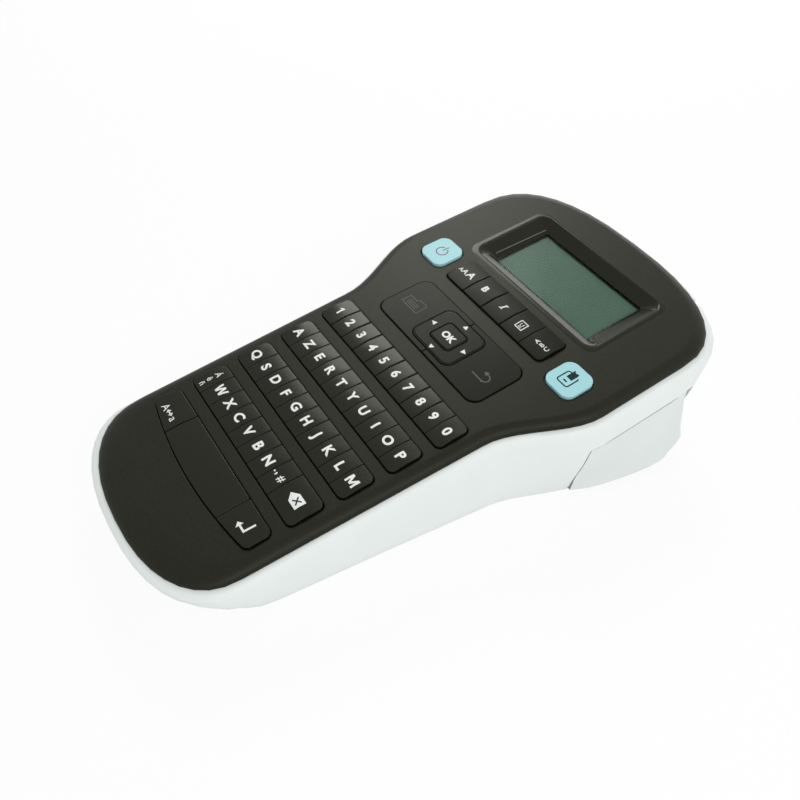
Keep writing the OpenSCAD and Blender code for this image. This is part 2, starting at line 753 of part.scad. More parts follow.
module ok_button() color("#1b1b19") on_face() translate([0, nav_y]) {
    through(key_low, ok_edge_h) rounded(ok_w, ok_d, ok_r);
    through(ok_edge_h, ok_top_h) rounded(ok_w - 2 * ok_step, ok_d - 2 * ok_step, ok_r - ok_step);
}

// Display, keypad and circuit board

module display_window() color("#6f8f80", 0.6) on_face()
    window_block(0, -recess_h - window_t, -recess_h);

// The display's glass lies just under the window, on a wider carrier
display_t = 1.6;
display_gap = 0.1;
carrier_rim = 3;
display_top = -recess_h - window_t - display_gap;
module display_module() color("#7d9a8c") on_face() {
    window_block(0, display_top - display_t, display_top);
    translate([0, window_y, 0]) through(board_top, display_top - display_t)
        square([window_w + 2 * carrier_rim, window_l + 2 * carrier_rim], center = true);
}

mat_half = 32.5;
mat_margin = 2;
mat_near = row_near(4) - mat_margin;
mat_ear = 5;
dome_r = 1.9;
// Places across the face of the domes under the lowest row and under the pad
space_domes = [-24, -9, 0, 9, 24];
pad_domes = [-19, 0, 19];
module keypad_mat() color("#4a4a4a") on_face() difference() {
    union() {
        through(board_top, board_top + mat_t) {
            translate([-mat_half, mat_near]) square([2 * mat_half, format_near + format_d - mat_near]);
            translate([-power_x - mat_ear, format_near]) square([power_x + print_x + 2 * mat_ear, format_d]);
        }
        for (r = [0 : 3], i = [0 : slots_per_row - 1])
            mat_dome([(slot_x(r, i) + slot_x(r, i + 1)) / 2, row_near(r) + key_d / 2]);
        for (i = [0 : format_keys - 1])
            mat_dome([(format_x(i) + format_x(i + 1)) / 2, format_near + format_d / 2]);
        for (x = space_domes) mat_dome([x, row_near(4) + key_d / 2]);
        for (x = pad_domes) mat_dome([x, nav_y]);
        for (side = [-1, 1]) mat_dome(button_at(side));
        for (side = [-1, 1]) translate([side * rock_x - rock_l / 2, nav_y - rock_r, board_top])
            cube([rock_l, 2 * rock_r, key_low - rock_r - run_gap - board_top]);
    }
    for (p = board_posts) translate([p[0], p[1], board_top - over])
        cylinder(r = board_post_r + key_gap, h = mat_top - board_top + 2 * over);
}
module mat_dome(p) translate([p[0], p[1], board_top]) cylinder(r = dome_r, h = mat_top - board_top);

board_inset = 5;
module circuit_board() color("#2f6b45") difference() {
    on_face() face_slab(board_inset, board_top - board_t, board_top);
    for (p = screw_at) translate([p[0], p[1], 0]) cylinder(r = boss_r, h = tall);
}

// Cutter lever

lever_rows = 8;
lever_steps = 14;

// Half width of the shell's outer wall at a place along Y and a height
function wall_x(y, z) =
    let(face_at = (y - face_y) / cos(tilt),
        low = base_half(y) * end_fall((base_far - y) / head_round),
        high = face_half(face_at) * end_fall((face_far - face_at) / head_round))
    let(u = clamp01(z / (face_z(y) - edge_h))) mix(low, high, u) + swell * lookup(u, wall_out);
function end_fall(u) = pow(max(0, 1 - pow(1 - clamp01(u), 2 / head_full)), head_full / 2);

// Outer skin of the lever: s runs from its pivot end to its free end, v from its top edge down
function lever_y(s, v) = mix(lever_near, lever_far - lever_lean * (1 - v), s);
function lever_z(s, v) = mix(face_z(lever_y(s, 0)) - lever_drop, lever_foot, v);
// The lever's wall turns no further in past wall_end; it flares to its full width at flare_turn
wall_end = 6;
flare_turn = 112;
flare_power = 1.25;
function lever_x(s, v) = wall_x(min(lever_y(s, v), lever_far - wall_end), lever_z(s, v))
    + lever_flare * sin(min(90, flare_turn * s)) * pow(v, flare_power);

function lever_grid(depth) = [for (j = [0 : lever_rows])
    [for (i = [0 : lever_steps]) let(s = i / lever_steps, v = j / lever_rows)
        [lever_x(s, v) - depth, lever_y(s, v), lever_z(s, v)]]];

module lever_skin() {
    outside = [for (row = lever_grid(0)) each row];
    inside = [for (row = lever_grid(lever_t)) each row];
    w = lever_steps + 1;
    n = len(outside);
    function quad(a, b, c, d) = [[a, b, c], [a, c, d]];
    polyhedron(points = concat(outside, inside), faces = [for (part = [
        [for (j = [0 : lever_rows - 1], i = [0 : lever_steps - 1])
            each quad(j * w + i, j * w + i + 1, (j + 1) * w + i + 1, (j + 1) * w + i)],
        [for (j = [0 : lever_rows - 1], i = [0 : lever_steps - 1])
            each quad(n + j * w + i, n + (j + 1) * w + i, n + (j + 1) * w + i + 1, n + j * w + i + 1)],
        [for (i = [0 : lever_steps - 1]) each quad(i, n + i, n + i + 1, i + 1)],
        [for (i = [0 : lever_steps - 1]) let(k = lever_rows * w + i) each quad(k, k + 1, n + k + 1, n + k)],
        [for (j = [0 : lever_rows - 1]) let(k = j * w) each quad(k, k + w, n + k + w, n + k)],
        [for (j = [0 : lever_rows - 1]) let(k = j * w + w - 1) each quad(k, n + k, n + k + w, k + w)]])
        each part]);
}

// Rounds the lower corner of the lever's free end
corner_r = 6;
corner_steps = 8;
module lever_corner() let(y = lever_far - corner_r + eps, z = lever_foot + corner_r - eps)
    along_x(lever_pin_at[0], base_head_w) polygon(concat(
        [[y, lever_foot - over], [lever_far + over, lever_foot - over], [lever_far + over, z]],
        [for (i = [0 : corner_steps]) let(a = 90 * i / corner_steps) [y, z] + corner_r * [cos(a), -sin(a)]]));

// The barrel turns between its seat on the floor and the mechanism's plate, joined by a web
barrel_z = [wall + barrel_seat + side_gap, deck_z - side_gap];
web_t = 4;
web_ends = [1, 2];
web_s = pin_past / (lever_far - lever_near);
web_v = 0.7;
// Where the arm that pushes the blade holder meets the lever
arm_t = 2;
arm_h = tape_w - 3;
arm_gap = 0.4;
arm_s = (blade_y - lever_near) / (lever_far - lever_near);
arm_v = (lever_z(arm_s, 0) - tape_z - arm_h) / (lever_z(arm_s, 0) - lever_foot);
module cutter_lever() color("whitesmoke") difference() {
    union() {
        lever_skin();
        translate([lever_pin_at[0], lever_pin_at[1], barrel_z[0]])
            cylinder(r = pin_r + barrel_wall, h = barrel_z[1] - barrel_z[0]);
        translate([lever_pin_at[0], lever_pin_at[1] - web_t / 2, barrel_z[0] + web_ends[0]])
            cube([lever_x(web_s, web_v) - lever_pin_at[0] - lever_t / 2, web_t,
                barrel_z[1] - barrel_z[0] - web_ends[0] - web_ends[1]]);
        translate([holder_x[1] + arm_gap, blade_y - arm_t / 2, tape_z])
            cube([lever_x(arm_s, arm_v) - lever_t / 2 - holder_x[1] - arm_gap, arm_t, arm_h]);
    }
    lever_corner();
    translate([lever_pin_at[0], lever_pin_at[1], 0]) cylinder(r = pin_r + run_gap, h = tall);
}

module lever_pin() color("silver") translate([lever_pin_at[0], lever_pin_at[1], wall])
    cylinder(r = pin_r, h = deck_top - wall);

// Return spring between the shell's rib and the lever, wound about X
spring_r = 2.6;
spring_wire = 0.35;
spring_turns = 5;
spring_z = 10;
spring_gap = 0.1;
spring_slack = 0.9;
spring_at = [rib_at[0] + rib_size[0] + spring_gap, rib_at[1] + rib_size[1] / 2, spring_z];
spring_s = (spring_at[1] - lever_near) / (lever_far - lever_near);
spring_v = (lever_z(spring_s, 0) - spring_at[2]) / (lever_z(spring_s, 0) - lever_foot);
spring_l = lever_x(spring_s, spring_v) - lever_t - spring_at[0] - spring_slack;
spring_rings = 8 * spring_turns;
spring_sides = 6;
function spring_point(t, b) = let(a = 360 * spring_turns * t, r = spring_r + spring_wire * cos(b))
    [spring_wire + (spring_l - 2 * spring_wire) * t + spring_wire * sin(b), r * cos(a), r * sin(a)];
module lever_spring() color("silver") translate(spring_at) skin([for (i = [0 : spring_rings])
    [for (k = [0 : spring_sides - 1]) spring_point(i / spring_rings, 360 * k / spring_sides)]]);

// The blade is set into a slit of its holder and stands past the tape's edges
blade_past = 1.5;
blade_root = 3;
blade_out = [0.4, 2.2];
blade_h = tape_w + 2 * blade_past;
module blade_holder() color("dimgray") difference() {
    translate([holder_x[0], blade_y - holder_t / 2, holder_low])
        cube([holder_w, holder_t, deck_z - holder_low - side_gap]);
    translate([holder_x[0] - over, blade_y - blade_t / 2, tape_z - blade_past])
        cube([blade_root + over, blade_t, blade_h]);
}

module cutter_blade() color("silver") translate([holder_x[0], blade_y - blade_t / 2, tape_z - blade_past])
    rotate([90, 0, 0]) translate([0, 0, -blade_t]) linear_extrude(blade_t) polygon([
        [blade_root, 0], [blade_root, blade_h], [-blade_out[0], blade_h], [-blade_out[1], 0]]);

// Covers on the underside

// Grip ribs near each cover's free edge
grip_in = 8;
grip_l = 18;
grip_t = 1;
grip_pitch = 2.4;
module hinged_cover(open, hinge_y, reach) {
    x0 = open[0] + cover_gap;
    w = open[1] - open[0] - 2 * cover_gap;
    y0 = reach > 0 ? hinge_y : open[2] + cover_gap;
    y1 = reach > 0 ? open[3] - cover_gap : hinge_y;
    translate([x0, y0, cover_lift]) cube([w, y1 - y0, cover_t]);
    translate([x0, hinge_y, cover_lift + hinge_r]) rotate([0, 90, 0]) cylinder(r = hinge_r, h = w);
    translate([x0 - hinge_pin_l, hinge_y, cover_lift + hinge_r]) rotate([0, 90, 0])
        cylinder(r = hinge_pin_r, h = w + 2 * hinge_pin_l);
    grip_y = reach > 0 ? y1 - grip_in : y0 + grip_in;
    for (i = [-1 : 1]) translate([x0 + (w - grip_l) / 2, grip_y + grip_pitch * i - grip_t / 2, cover_lift / 2])
        cube([grip_l, grip_t, cover_lift]);
}

module cassette_door() color("whitesmoke") hinged_cover(door_open, door_hinge_y, 1);
module battery_cover() color("whitesmoke") hinged_cover(bay_open, bay_hinge_y, -1);

// Batteries

cell_z = cover_lift + cover_t + cell_lift + cell_r;
cell_near = bay_near + cell_room[0];
nub_l = 1;
nub_r = 1.9;
function cell_x(i) = (i - (cells - 1) / 2) * cell_pitch;

module batteries() color("#b08a4a") for (i = [0 : cells - 1])
    translate([cell_x(i), cell_near + cell_l / 2, cell_z]) rotate([i % 2 == 0 ? -90 : 90, 0, 0]) {
        translate([0, 0, -cell_l / 2]) cylinder(r = cell_r, h = cell_l - nub_l);
        translate([0, 0, cell_l / 2 - nub_l]) cylinder(r = nub_r, h = nub_l);
    }

// A contact plate with a sprung tongue for each end of each cell
contact_t = 0.4;
contact_w = 7;
contact_h = 8;
tongue_w = 3;
tongue_h = 4;
tongue_gap = 0.2;
module battery_contacts() color("silver") for (i = [0 : cells - 1], end = [0, 1])
    translate([cell_x(i), end == 0 ? bay_near : bay_near + bay_l - contact_t, cell_z]) {
        translate([-contact_w / 2, 0, -contact_h / 2]) cube([contact_w, contact_t, contact_h]);
        let(tongue = cell_room[end] - contact_t - tongue_gap)
            translate([-tongue_w / 2, end == 0 ? contact_t : -tongue, -tongue_h / 2])
                cube([tongue_w, tongue, tongue_h]);
    }

// Print mechanism

// The plate's outline follows its posts, the lever's pivot and the cutter
plate_past = 3.4;
plate_near = 0.5;
plate_right = lever_pin_at[0] + 2.5;
plate_waist = [40, 66];
bush_h = 2;
bush_wall = 1.5;
guide_l = 11;
guide_t = 1.2;
guide_h = 3;
guide_in = 5;
motor_boss_r = 2.8;
module mech_plate() color("dimgray") difference() {
    union() {
        translate([0, 0, deck_z]) linear_extrude(deck_t) polygon([
            [post_x[0] - plate_past, plate_near], [post_x[1] + bush_h, plate_near],
            [plate_right, plate_waist[0]], [plate_right, plate_waist[1]],
            [platen_at[0] + post_r, blade_y + plate_past], [post_x[0] - plate_past, blade_y + plate_past]]);
        translate([platen_at[0], platen_at[1], deck_z - bush_h]) cylinder(r = shaft_r + bush_wall, h = bush_h);
        for (side = [-1, 1]) let(y = blade_y + side * (holder_t / 2 + side_gap + guide_t / 2))
            translate([holder_x[0] - guide_in, y - guide_t / 2, deck_z - guide_h])
                cube([guide_l, guide_t, guide_h + eps]);
    }
    for (p = post_at) translate([p[0], p[1], deck_z - over])
        cylinder(r = post_pin_r + run_gap, h = deck_t + 2 * over);
    translate([platen_at[0], platen_at[1], 0]) cylinder(r = shaft_r + run_gap, h = tall);
    translate([idler_at[0], idler_at[1], 0]) cylinder(r = shaft_r, h = tall);
    translate([motor_at[0], motor_at[1], 0]) cylinder(r = motor_boss_r + side_gap, h = tall);
    translate([lever_pin_at[0], lever_pin_at[1], 0]) cylinder(r = pin_r, h = tall);
}

// The head presses the tape on the platen; a heat sink behind it hangs from the plate
head_t = 1.3;
head_l = 10;
head_gap = 0.25;
head_past = 1;
sink_t = 2;
sink_l = 8;
module print_head() color("#3a3a3a") translate([tape_x - head_gap - head_t, platen_at[1], tape_z - head_past]) {
    translate([0, -head_l / 2, 0]) cube([head_t, head_l, tape_w + 2 * head_past]);
    translate([-sink_t, -sink_l / 2, 0]) cube([sink_t, sink_l, deck_z - tape_z + head_past]);
}

module turned(r, bore, z0, z1) translate([0, 0, z0]) difference() {
    cylinder(r = r, h = z1 - z0);
    translate([0, 0, -over]) cylinder(r = bore, h = z1 - z0 + 2 * over);
}

module at(p) translate([p[0], p[1], 0]) children();

platen_ends = 1.5;
shaft_ends = [2.5, 0.5];
module platen_roller() color("#2b2b2b") at(platen_at)
    turned(platen_r, shaft_r, tape_z - platen_ends, tape_z + tape_w + platen_ends);
module platen_shaft() color("silver") at(platen_at) translate([0, 0, tape_z - shaft_ends[0]])
    cylinder(r = shaft_r, h = small_z + gear_t + shaft_ends[1] - tape_z + shaft_ends[0]);

// Involute gear teeth: short addendum, so that small pinions need no undercut
pressure = 20;
addendum = 0.85;
dedendum = 1.15;
backlash = 0.12;
flank_steps = 4;
function involute_turn(base, r) = let(t = sqrt(max(0, pow(r / base, 2) - 1))) t * 180 / PI - atan(t);
function gear_outline(teeth, turn) =
    let(pitch = gear_m * teeth / 2, base = pitch * cos(pressure),
        root = pitch - dedendum * gear_m, tip = pitch + addendum * gear_m, low = max(base, root),
        half = 90 / teeth - backlash / 2 / pitch * 180 / PI + involute_turn(base, pitch),
        flank = [for (i = [0 : flank_steps]) let(r = mix(low, tip, i / flank_steps))
            [r, half - involute_turn(base, r)]],
        side = concat([[root, flank[0][1]]], root < low - eps ? flank : [for (i = [1 : flank_steps]) flank[i]]))
    [for (k = [0 : teeth - 1]) let(mid = turn + 360 * k / teeth) each concat(
        [for (p = side) p[0] * [cos(mid - p[1]), sin(mid - p[1])]],
        [for (i = [len(side) - 1 : -1 : 0]) let(p = side[i]) p[0] * [cos(mid + p[1]), sin(mid + p[1])]])];

module gear(teeth, turn, z) translate([0, 0, z]) linear_extrude(gear_t) polygon(gear_outline(teeth, turn));
function bearing(a, b) = atan2(b[1] - a[1], b[0] - a[0]);
to_idler = bearing(platen_at, idler_at);
to_motor = bearing(idler_at, motor_at);

module platen_gear() color("ivory") at(platen_at) difference() {
    gear(platen_teeth, to_idler, small_z);
    cylinder(r = shaft_r, h = tall);
}

gear_hub_r = 3;
module reduction_gear() color("ivory") at(idler_at) difference() {
    union() {
        gear(wheel_teeth, to_motor, wheel_z);
        translate([0, 0, wheel_z]) cylinder(r = gear_hub_r, h = gear_t + side_gap + eps);
        gear(small_teeth, to_idler + 180 + 180 / small_teeth, small_z);
    }
    cylinder(r = shaft_r + run_gap, h = tall);
}

pin_head_r = shaft_r + 0.8;
pin_head_t = 0.5;
module gear_pin() color("silver") at(idler_at) let(head_z = small_z + gear_t + side_gap) {
    translate([0, 0, deck_z]) cylinder(r = shaft_r, h = head_z + pin_head_t - deck_z);
    translate([0, 0, head_z]) cylinder(r = pin_head_r, h = pin_head_t);
}

motor_shaft_r = 1;
motor_boss_h = 1.2;
motor_bore = 6;
motor_shaft_in = 5.8;
motor_shaft_past = 0.6;
module drive_motor() color("gainsboro") at(motor_at) difference() {
    union() {
        translate([0, 0, deck_z - motor_h]) cylinder(r = motor_r, h = motor_h);
        translate([0, 0, deck_z - eps]) cylinder(r = motor_boss_r, h = motor_boss_h);
    }
    translate([0, 0, deck_z - motor_bore])
        cylinder(r = motor_shaft_r + run_gap, h = motor_bore + motor_boss_h + over);
}
module motor_shaft() color("silver") at(motor_at) translate([0, 0, deck_z - motor_shaft_in])
    cylinder(r = motor_shaft_r, h = wheel_z + gear_t + motor_shaft_past - deck_z + motor_shaft_in);
module motor_pinion() color("gold") at(motor_at) difference() {
    gear(motor_teeth, to_motor + 180 + 180 / motor_teeth, wheel_z);
    cylinder(r = motor_shaft_r, h = tall);
}

// Tape cassette

cassette_r = 3;
spindle_r = 2.5;
// The tape leaves through a window near the cassette's far right corner
exit_far = 7;
exit_w = 3;
exit_l = 22;
exit_gap = 0.5;
module cassette_block(inset, z0, z1) translate([cassette_x + cassette_w / 2, cassette_y + cassette_l / 2, 0])
    through(z0, z1) rounded(cassette_w - 2 * inset, cassette_l - 2 * inset, cassette_r - inset);

module tape_cassette() color("#d9dde0") difference() {
    cassette_block(0, cassette_z, cassette_z + cassette_h);
    difference() {
        cassette_block(cassette_wall, cassette_z + cassette_wall, cassette_z + cassette_h - cassette_wall);
        for (p = [roll_at, spool_at]) at(p) cylinder(r = hub_r, h = tall);
    }
    translate([tape_x + 2 * over - exit_l, cassette_y + cassette_l - exit_far, tape_z - exit_gap])
        cube([exit_l, exit_w, tape_w + 2 * exit_gap]);
    for (p = [roll_at, spool_at]) at(p) translate([0, 0, cassette_z - over])
        cylinder(r = spindle_r, h = cassette_h + 2 * over);
}

module tape_roll() color("white") at(roll_at) turned(roll_r, hub_r + run_gap, tape_z, tape_z + tape_w);
module ribbon_spool() color("#202020") at(spool_at) turned(spool_r, hub_r + run_gap, tape_z, tape_z + tape_w);

tape_t = 0.15;
label_ends = [cassette_y + cassette_l - exit_far + over, blade_y - holder_t / 2 - over];
module label_tape() color("white") translate([tape_x - tape_t / 2, label_ends[0], tape_z])
    cube([tape_t, label_ends[1] - label_ends[0], tape_w]);

// Cross-head screws, sunk in the underside
screw_l = 17;
screw_lift = 0.6;
screw_head_t = 1.8;
cross_l = 3.6;
cross_t = 0.6;
module shell_screws() color("silver") for (p = screw_at) translate([p[0], p[1], screw_lift]) difference() {
    union() {
        cylinder(r = screw_head_r, h = screw_head_t);
        cylinder(r = screw_r, h = screw_l);
    }
    for (size = [[cross_l, cross_t], [cross_t, cross_l]])
        translate([-size[0] / 2, -size[1] / 2, -over]) cube([size[0], size[1], cross_t + over]);
}

// What is drawn

top_cover();
lower_shell();
display_window();
display_module();
keypad_mat();
circuit_board();
for (i = [0 : 9]) digit_key(i);
for (r = [1 : 3]) letter_row(r);
caps_key();
space_key();
enter_key();
backspace_key();
format_key(0);  // size_key
format_key(1);  // bold_key
format_key(2);  // italic_key
format_key(3);  // frame_key
format_key(4);  // vertical_key
blue_button(-1);  // power_button
blue_button(1);  // print_button
panel_key(-1);  // menu_key
panel_key(1);  // back_key
nav_ring();
ok_button();
cutter_lever();
lever_pin();
lever_spring();
blade_holder();
cutter_blade();
cassette_door();
battery_cover();
batteries();
battery_contacts();
mech_plate();
print_head();
platen_roller();
platen_shaft();
platen_gear();
drive_motor();
motor_shaft();
motor_pinion();
reduction_gear();
gear_pin();
tape_cassette();
tape_roll();
ribbon_spool();
label_tape();
shell_screws();
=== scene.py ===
"""Looks of a handheld label printer: finishes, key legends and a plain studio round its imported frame."""

import json
import math

import bmesh
import bpy
from mathutils import Matrix, Vector
from mathutils.bvhtree import BVHTree

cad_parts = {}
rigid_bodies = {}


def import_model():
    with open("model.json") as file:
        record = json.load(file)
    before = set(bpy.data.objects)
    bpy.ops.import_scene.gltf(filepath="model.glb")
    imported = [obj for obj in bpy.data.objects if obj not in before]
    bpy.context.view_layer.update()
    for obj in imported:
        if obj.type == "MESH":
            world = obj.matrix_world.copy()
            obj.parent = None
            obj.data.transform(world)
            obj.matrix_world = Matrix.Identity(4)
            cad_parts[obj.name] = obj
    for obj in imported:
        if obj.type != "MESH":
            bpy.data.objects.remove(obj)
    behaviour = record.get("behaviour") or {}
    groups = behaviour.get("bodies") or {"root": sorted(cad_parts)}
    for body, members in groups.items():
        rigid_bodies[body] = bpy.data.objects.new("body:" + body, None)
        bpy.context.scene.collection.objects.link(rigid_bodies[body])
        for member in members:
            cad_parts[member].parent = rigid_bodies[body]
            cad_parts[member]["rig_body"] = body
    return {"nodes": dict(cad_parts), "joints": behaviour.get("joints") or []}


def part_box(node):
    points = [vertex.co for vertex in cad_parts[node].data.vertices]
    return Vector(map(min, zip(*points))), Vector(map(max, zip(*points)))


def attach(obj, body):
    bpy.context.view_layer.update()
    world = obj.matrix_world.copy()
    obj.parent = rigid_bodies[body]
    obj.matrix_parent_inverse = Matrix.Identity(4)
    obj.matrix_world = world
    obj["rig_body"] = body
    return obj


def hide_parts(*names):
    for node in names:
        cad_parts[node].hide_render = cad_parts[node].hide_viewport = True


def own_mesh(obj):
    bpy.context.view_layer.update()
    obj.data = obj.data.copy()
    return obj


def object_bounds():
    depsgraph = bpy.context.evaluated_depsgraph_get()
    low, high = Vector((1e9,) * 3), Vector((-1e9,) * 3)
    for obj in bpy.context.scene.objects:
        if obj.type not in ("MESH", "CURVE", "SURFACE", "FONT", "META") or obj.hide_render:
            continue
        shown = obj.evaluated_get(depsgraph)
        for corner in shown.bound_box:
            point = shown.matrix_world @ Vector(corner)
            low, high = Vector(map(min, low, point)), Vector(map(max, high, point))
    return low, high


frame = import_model()
cad_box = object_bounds()
nodes = frame["nodes"]
joints = {joint["name"]: joint for joint in frame["joints"]}

MM = 0.001
# How far the cover's lip reaches over the display window on each side
WINDOW_LIP_MM = 1.5

# Groups of CAD nodes

DIGITS = "1234567890"
LETTER_ROWS = {
    "letter_keys_top": "AZERTYUIOP",
    "letter_keys_home": "QSDFGHJKLM",
    "letter_keys_bottom": " WXCVBN ",
}
FORMAT_KEYS = ["size_key", "bold_key", "italic_key", "frame_key", "vertical_key"]
KEYS = [f"digit_key_{digit}" for digit in DIGITS]
KEYS += list(LETTER_ROWS)
KEYS += ["caps_key", "space_key", "enter_key", "backspace_key"]
PANEL_KEYS = ["menu_key", "back_key", "nav_ring", "ok_button"] + FORMAT_KEYS
BLUE_BUTTONS = ["power_button", "print_button"]

# Face frame: x to the right, y along the slope to the display, z out of the face

FACE_UP = Vector(joints["ok_button_press"]["axis"]).normalized()
FACE_RIGHT = Vector((1, 0, 0))
FACE_ALONG = FACE_UP.cross(FACE_RIGHT)
FACE_TURN = Matrix((FACE_RIGHT, FACE_ALONG, FACE_UP)).transposed()


def middle(node):
    low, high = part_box(node)
    return (low + high) / 2


face_level = max(vertex.co.dot(FACE_UP) for vertex in nodes["top_cover"].data.vertices)
pad_middle = middle("ok_button")
FACE_ORIGIN = pad_middle + FACE_UP * (face_level - pad_middle.dot(FACE_UP))


def to_face(point):
    return FACE_TURN.transposed() @ (point - FACE_ORIGIN)


def from_face(point):
    return FACE_ORIGIN + FACE_TURN @ point


def face_box(node):
    """Lowest and highest corner of a node in the face frame"""
    points = [to_face(vertex.co) for vertex in nodes[node].data.vertices]
    low = Vector([min(point[axis] for point in points) for axis in range(3)])
    high = Vector([max(point[axis] for point in points) for axis in range(3)])
    return low, high


def body_of(node):
    return nodes[node]["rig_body"]


def add_object(name, data):
    obj = bpy.data.objects.new(name, data)
    bpy.context.scene.collection.objects.link(obj)
    return obj


# Material nodes

COLOUR_DETAIL = 4
GRAIN_DETAIL = 3
USUAL_NOISE = (0.3, 0.7)
BEVEL_SAMPLES = 6
# The part of the grain's noise that shows as flecks, and their strength
FLECK_NOISE = (0.56, 0.8)
FLECK_SHARE = 0.5


def new_material(name):
    material = bpy.data.materials.new(name)
    material.use_nodes = True
    tree = material.node_tree
    return material, tree, tree.nodes["Principled BSDF"]


def feed(tree, socket, value):
    """Links another node's output to a socket, or sets a plain value on it"""
    if isinstance(value, bpy.types.NodeSocket):
        tree.links.new(value, socket)
    else:
        socket.default_value = value


def opaque(colour):
    return (*colour, 1)


def shades(colour, share):
    """A colour a little darker and a little lighter than the one given"""
    darker = [value * (1 - share) for value in colour]
    lighter = [min(1, value * (1 + share)) for value in colour]
    return opaque(darker), opaque(lighter)


def object_coordinates(tree, stretch=(1, 1, 1)):
    """Object coordinates in metres, stretched for drawn or brushed surfaces"""
    place = tree.nodes.new("ShaderNodeTexCoord")
    mapping = tree.nodes.new("ShaderNodeMapping")
    mapping.inputs["Scale"].default_value = stretch
    tree.links.new(place.outputs["Object"], mapping.inputs["Vector"])
    return mapping.outputs["Vector"]


def noise(tree, coordinates, grain_mm, detail=GRAIN_DETAIL):
    """Noise whose blotches are about grain_mm across"""
    texture = tree.nodes.new("ShaderNodeTexNoise")
    texture.inputs["Scale"].default_value = 1 / (grain_mm * MM)
    texture.inputs["Detail"].default_value = detail
    tree.links.new(coordinates, texture.inputs["Vector"])
    return texture.outputs["Fac"]


def calculate(tree, operation, *values):
    node = tree.nodes.new("ShaderNodeMath")
    node.operation = operation
    for socket, value in zip(node.inputs, values):
        feed(tree, socket, value)
    return node.outputs["Value"]


def spread(tree, factor, low, high, source=USUAL_NOISE):
    """Maps a factor's usual range to a range of values"""
    mapped = tree.nodes.new("ShaderNodeMapRange")
    mapped.inputs["From Min"].default_value = source[0]
    mapped.inputs["From Max"].default_value = source[1]
    mapped.inputs["To Min"].default_value = low
    mapped.inputs["To Max"].default_value = high
    tree.links.new(factor, mapped.inputs["Value"])
    return mapped.outputs["Result"]


def colour_between(tree, factor, low, high):
    """Mixes two colours, each of them plain or from another node"""
    mixed = tree.nodes.new("ShaderNodeMix")
    mixed.data_type = "RGBA"
    feed(tree, mixed.inputs["A"], low)
    feed(tree, mixed.inputs["B"], high)
    tree.links.new(factor, mixed.inputs["Factor"])
    return mixed.outputs["Result"]


def bump(tree, height, depth_mm, shader, round_mm=0.0):
    """A fine relief, on edges that shade as if rounded by round_mm"""
    node = tree.nodes.new("ShaderNodeBump")
    node.inputs["Distance"].default_value = depth_mm * MM
    node.inputs["Strength"].default_value = 1
    tree.links.new(height, node.inputs["Height"])
    if round_mm:
        rounded = tree.nodes.new("ShaderNodeBevel")
        rounded.samples = BEVEL_SAMPLES
        rounded.inputs["Radius"].default_value = round_mm * MM
        tree.links.new(rounded.outputs["Normal"], node.inputs["Normal"])
    tree.links.new(node.outputs["Normal"], shader.inputs["Normal"])


def surface(name, colour, vary, blotch, rough, grain, relief, metal=0.0, specular=0.5, stretch=(1, 1, 1),
            tint=(1, 1, 1), rounding=0.0, fleck=None, detail=GRAIN_DETAIL):
    """A moulded, coated or drawn surface: colour drift, uneven gloss and a fine grain, sizes in millimetres"""
    material, tree, shader = new_material(name)
    shader.inputs["Metallic"].default_value = metal
    shader.inputs["Specular IOR Level"].default_value = specular
    shader.inputs["Specular Tint"].default_value = opaque(tint)
    place = object_coordinates(tree, stretch)
    drift = spread(tree, noise(tree, place, blotch, COLOUR_DETAIL), 0, 1)
    base = colour_between(tree, drift, *shades(colour, vary))
    texture = noise(tree, place, grain, detail)
    if fleck:
        flecks = spread(tree, texture, 0, FLECK_SHARE, FLECK_NOISE)
        base = colour_between(tree, flecks, base, opaque(fleck))
    tree.links.new(base, shader.inputs["Base Color"])
    tree.links.new(spread(tree, texture, *rough), shader.inputs["Roughness"])
    bump(tree, texture, relief, shader, rounding)
    return material


INK_ROUGH = 0.5
INK_ROUGH_SPAN = 0.15


def ink(name, colour, rough=INK_ROUGH, specular=0.5):
    """Screen-printed ink, slightly uneven"""
    return surface(name, colour, vary=0.03, blotch=1.5, rough=(rough, rough + INK_ROUGH_SPAN), grain=0.15,
                   relief=0.002, specular=specular)


WINDOW_TINT = (0.93, 0.97, 0.95)
WINDOW_IOR = 1.08
WINDOW_ROUGH = (0.14, 0.22)
WINDOW_SMEAR_MM = 12


def clear_window(name):
    material, tree, shader = new_material(name)
    shader.inputs["Base Color"].default_value = opaque(WINDOW_TINT)
    shader.inputs["Transmission Weight"].default_value = 1
    shader.inputs["IOR"].default_value = WINDOW_IOR
    smear = noise(tree, object_coordinates(tree), WINDOW_SMEAR_MM)
    tree.links.new(spread(tree, smear, *WINDOW_ROUGH), shader.inputs["Roughness"])
    return material


DISPLAY_ROUGH = 0.35
DISPLAY_SPECULAR = 0.1
# Colour of the painted shadow that the frame casts on the crystal
FRAME_PAINTED_SHADOW = (0.006, 0.008, 0.006)
DOT_VARY = 0.03
DOT_GAP_SHARE = 0.08


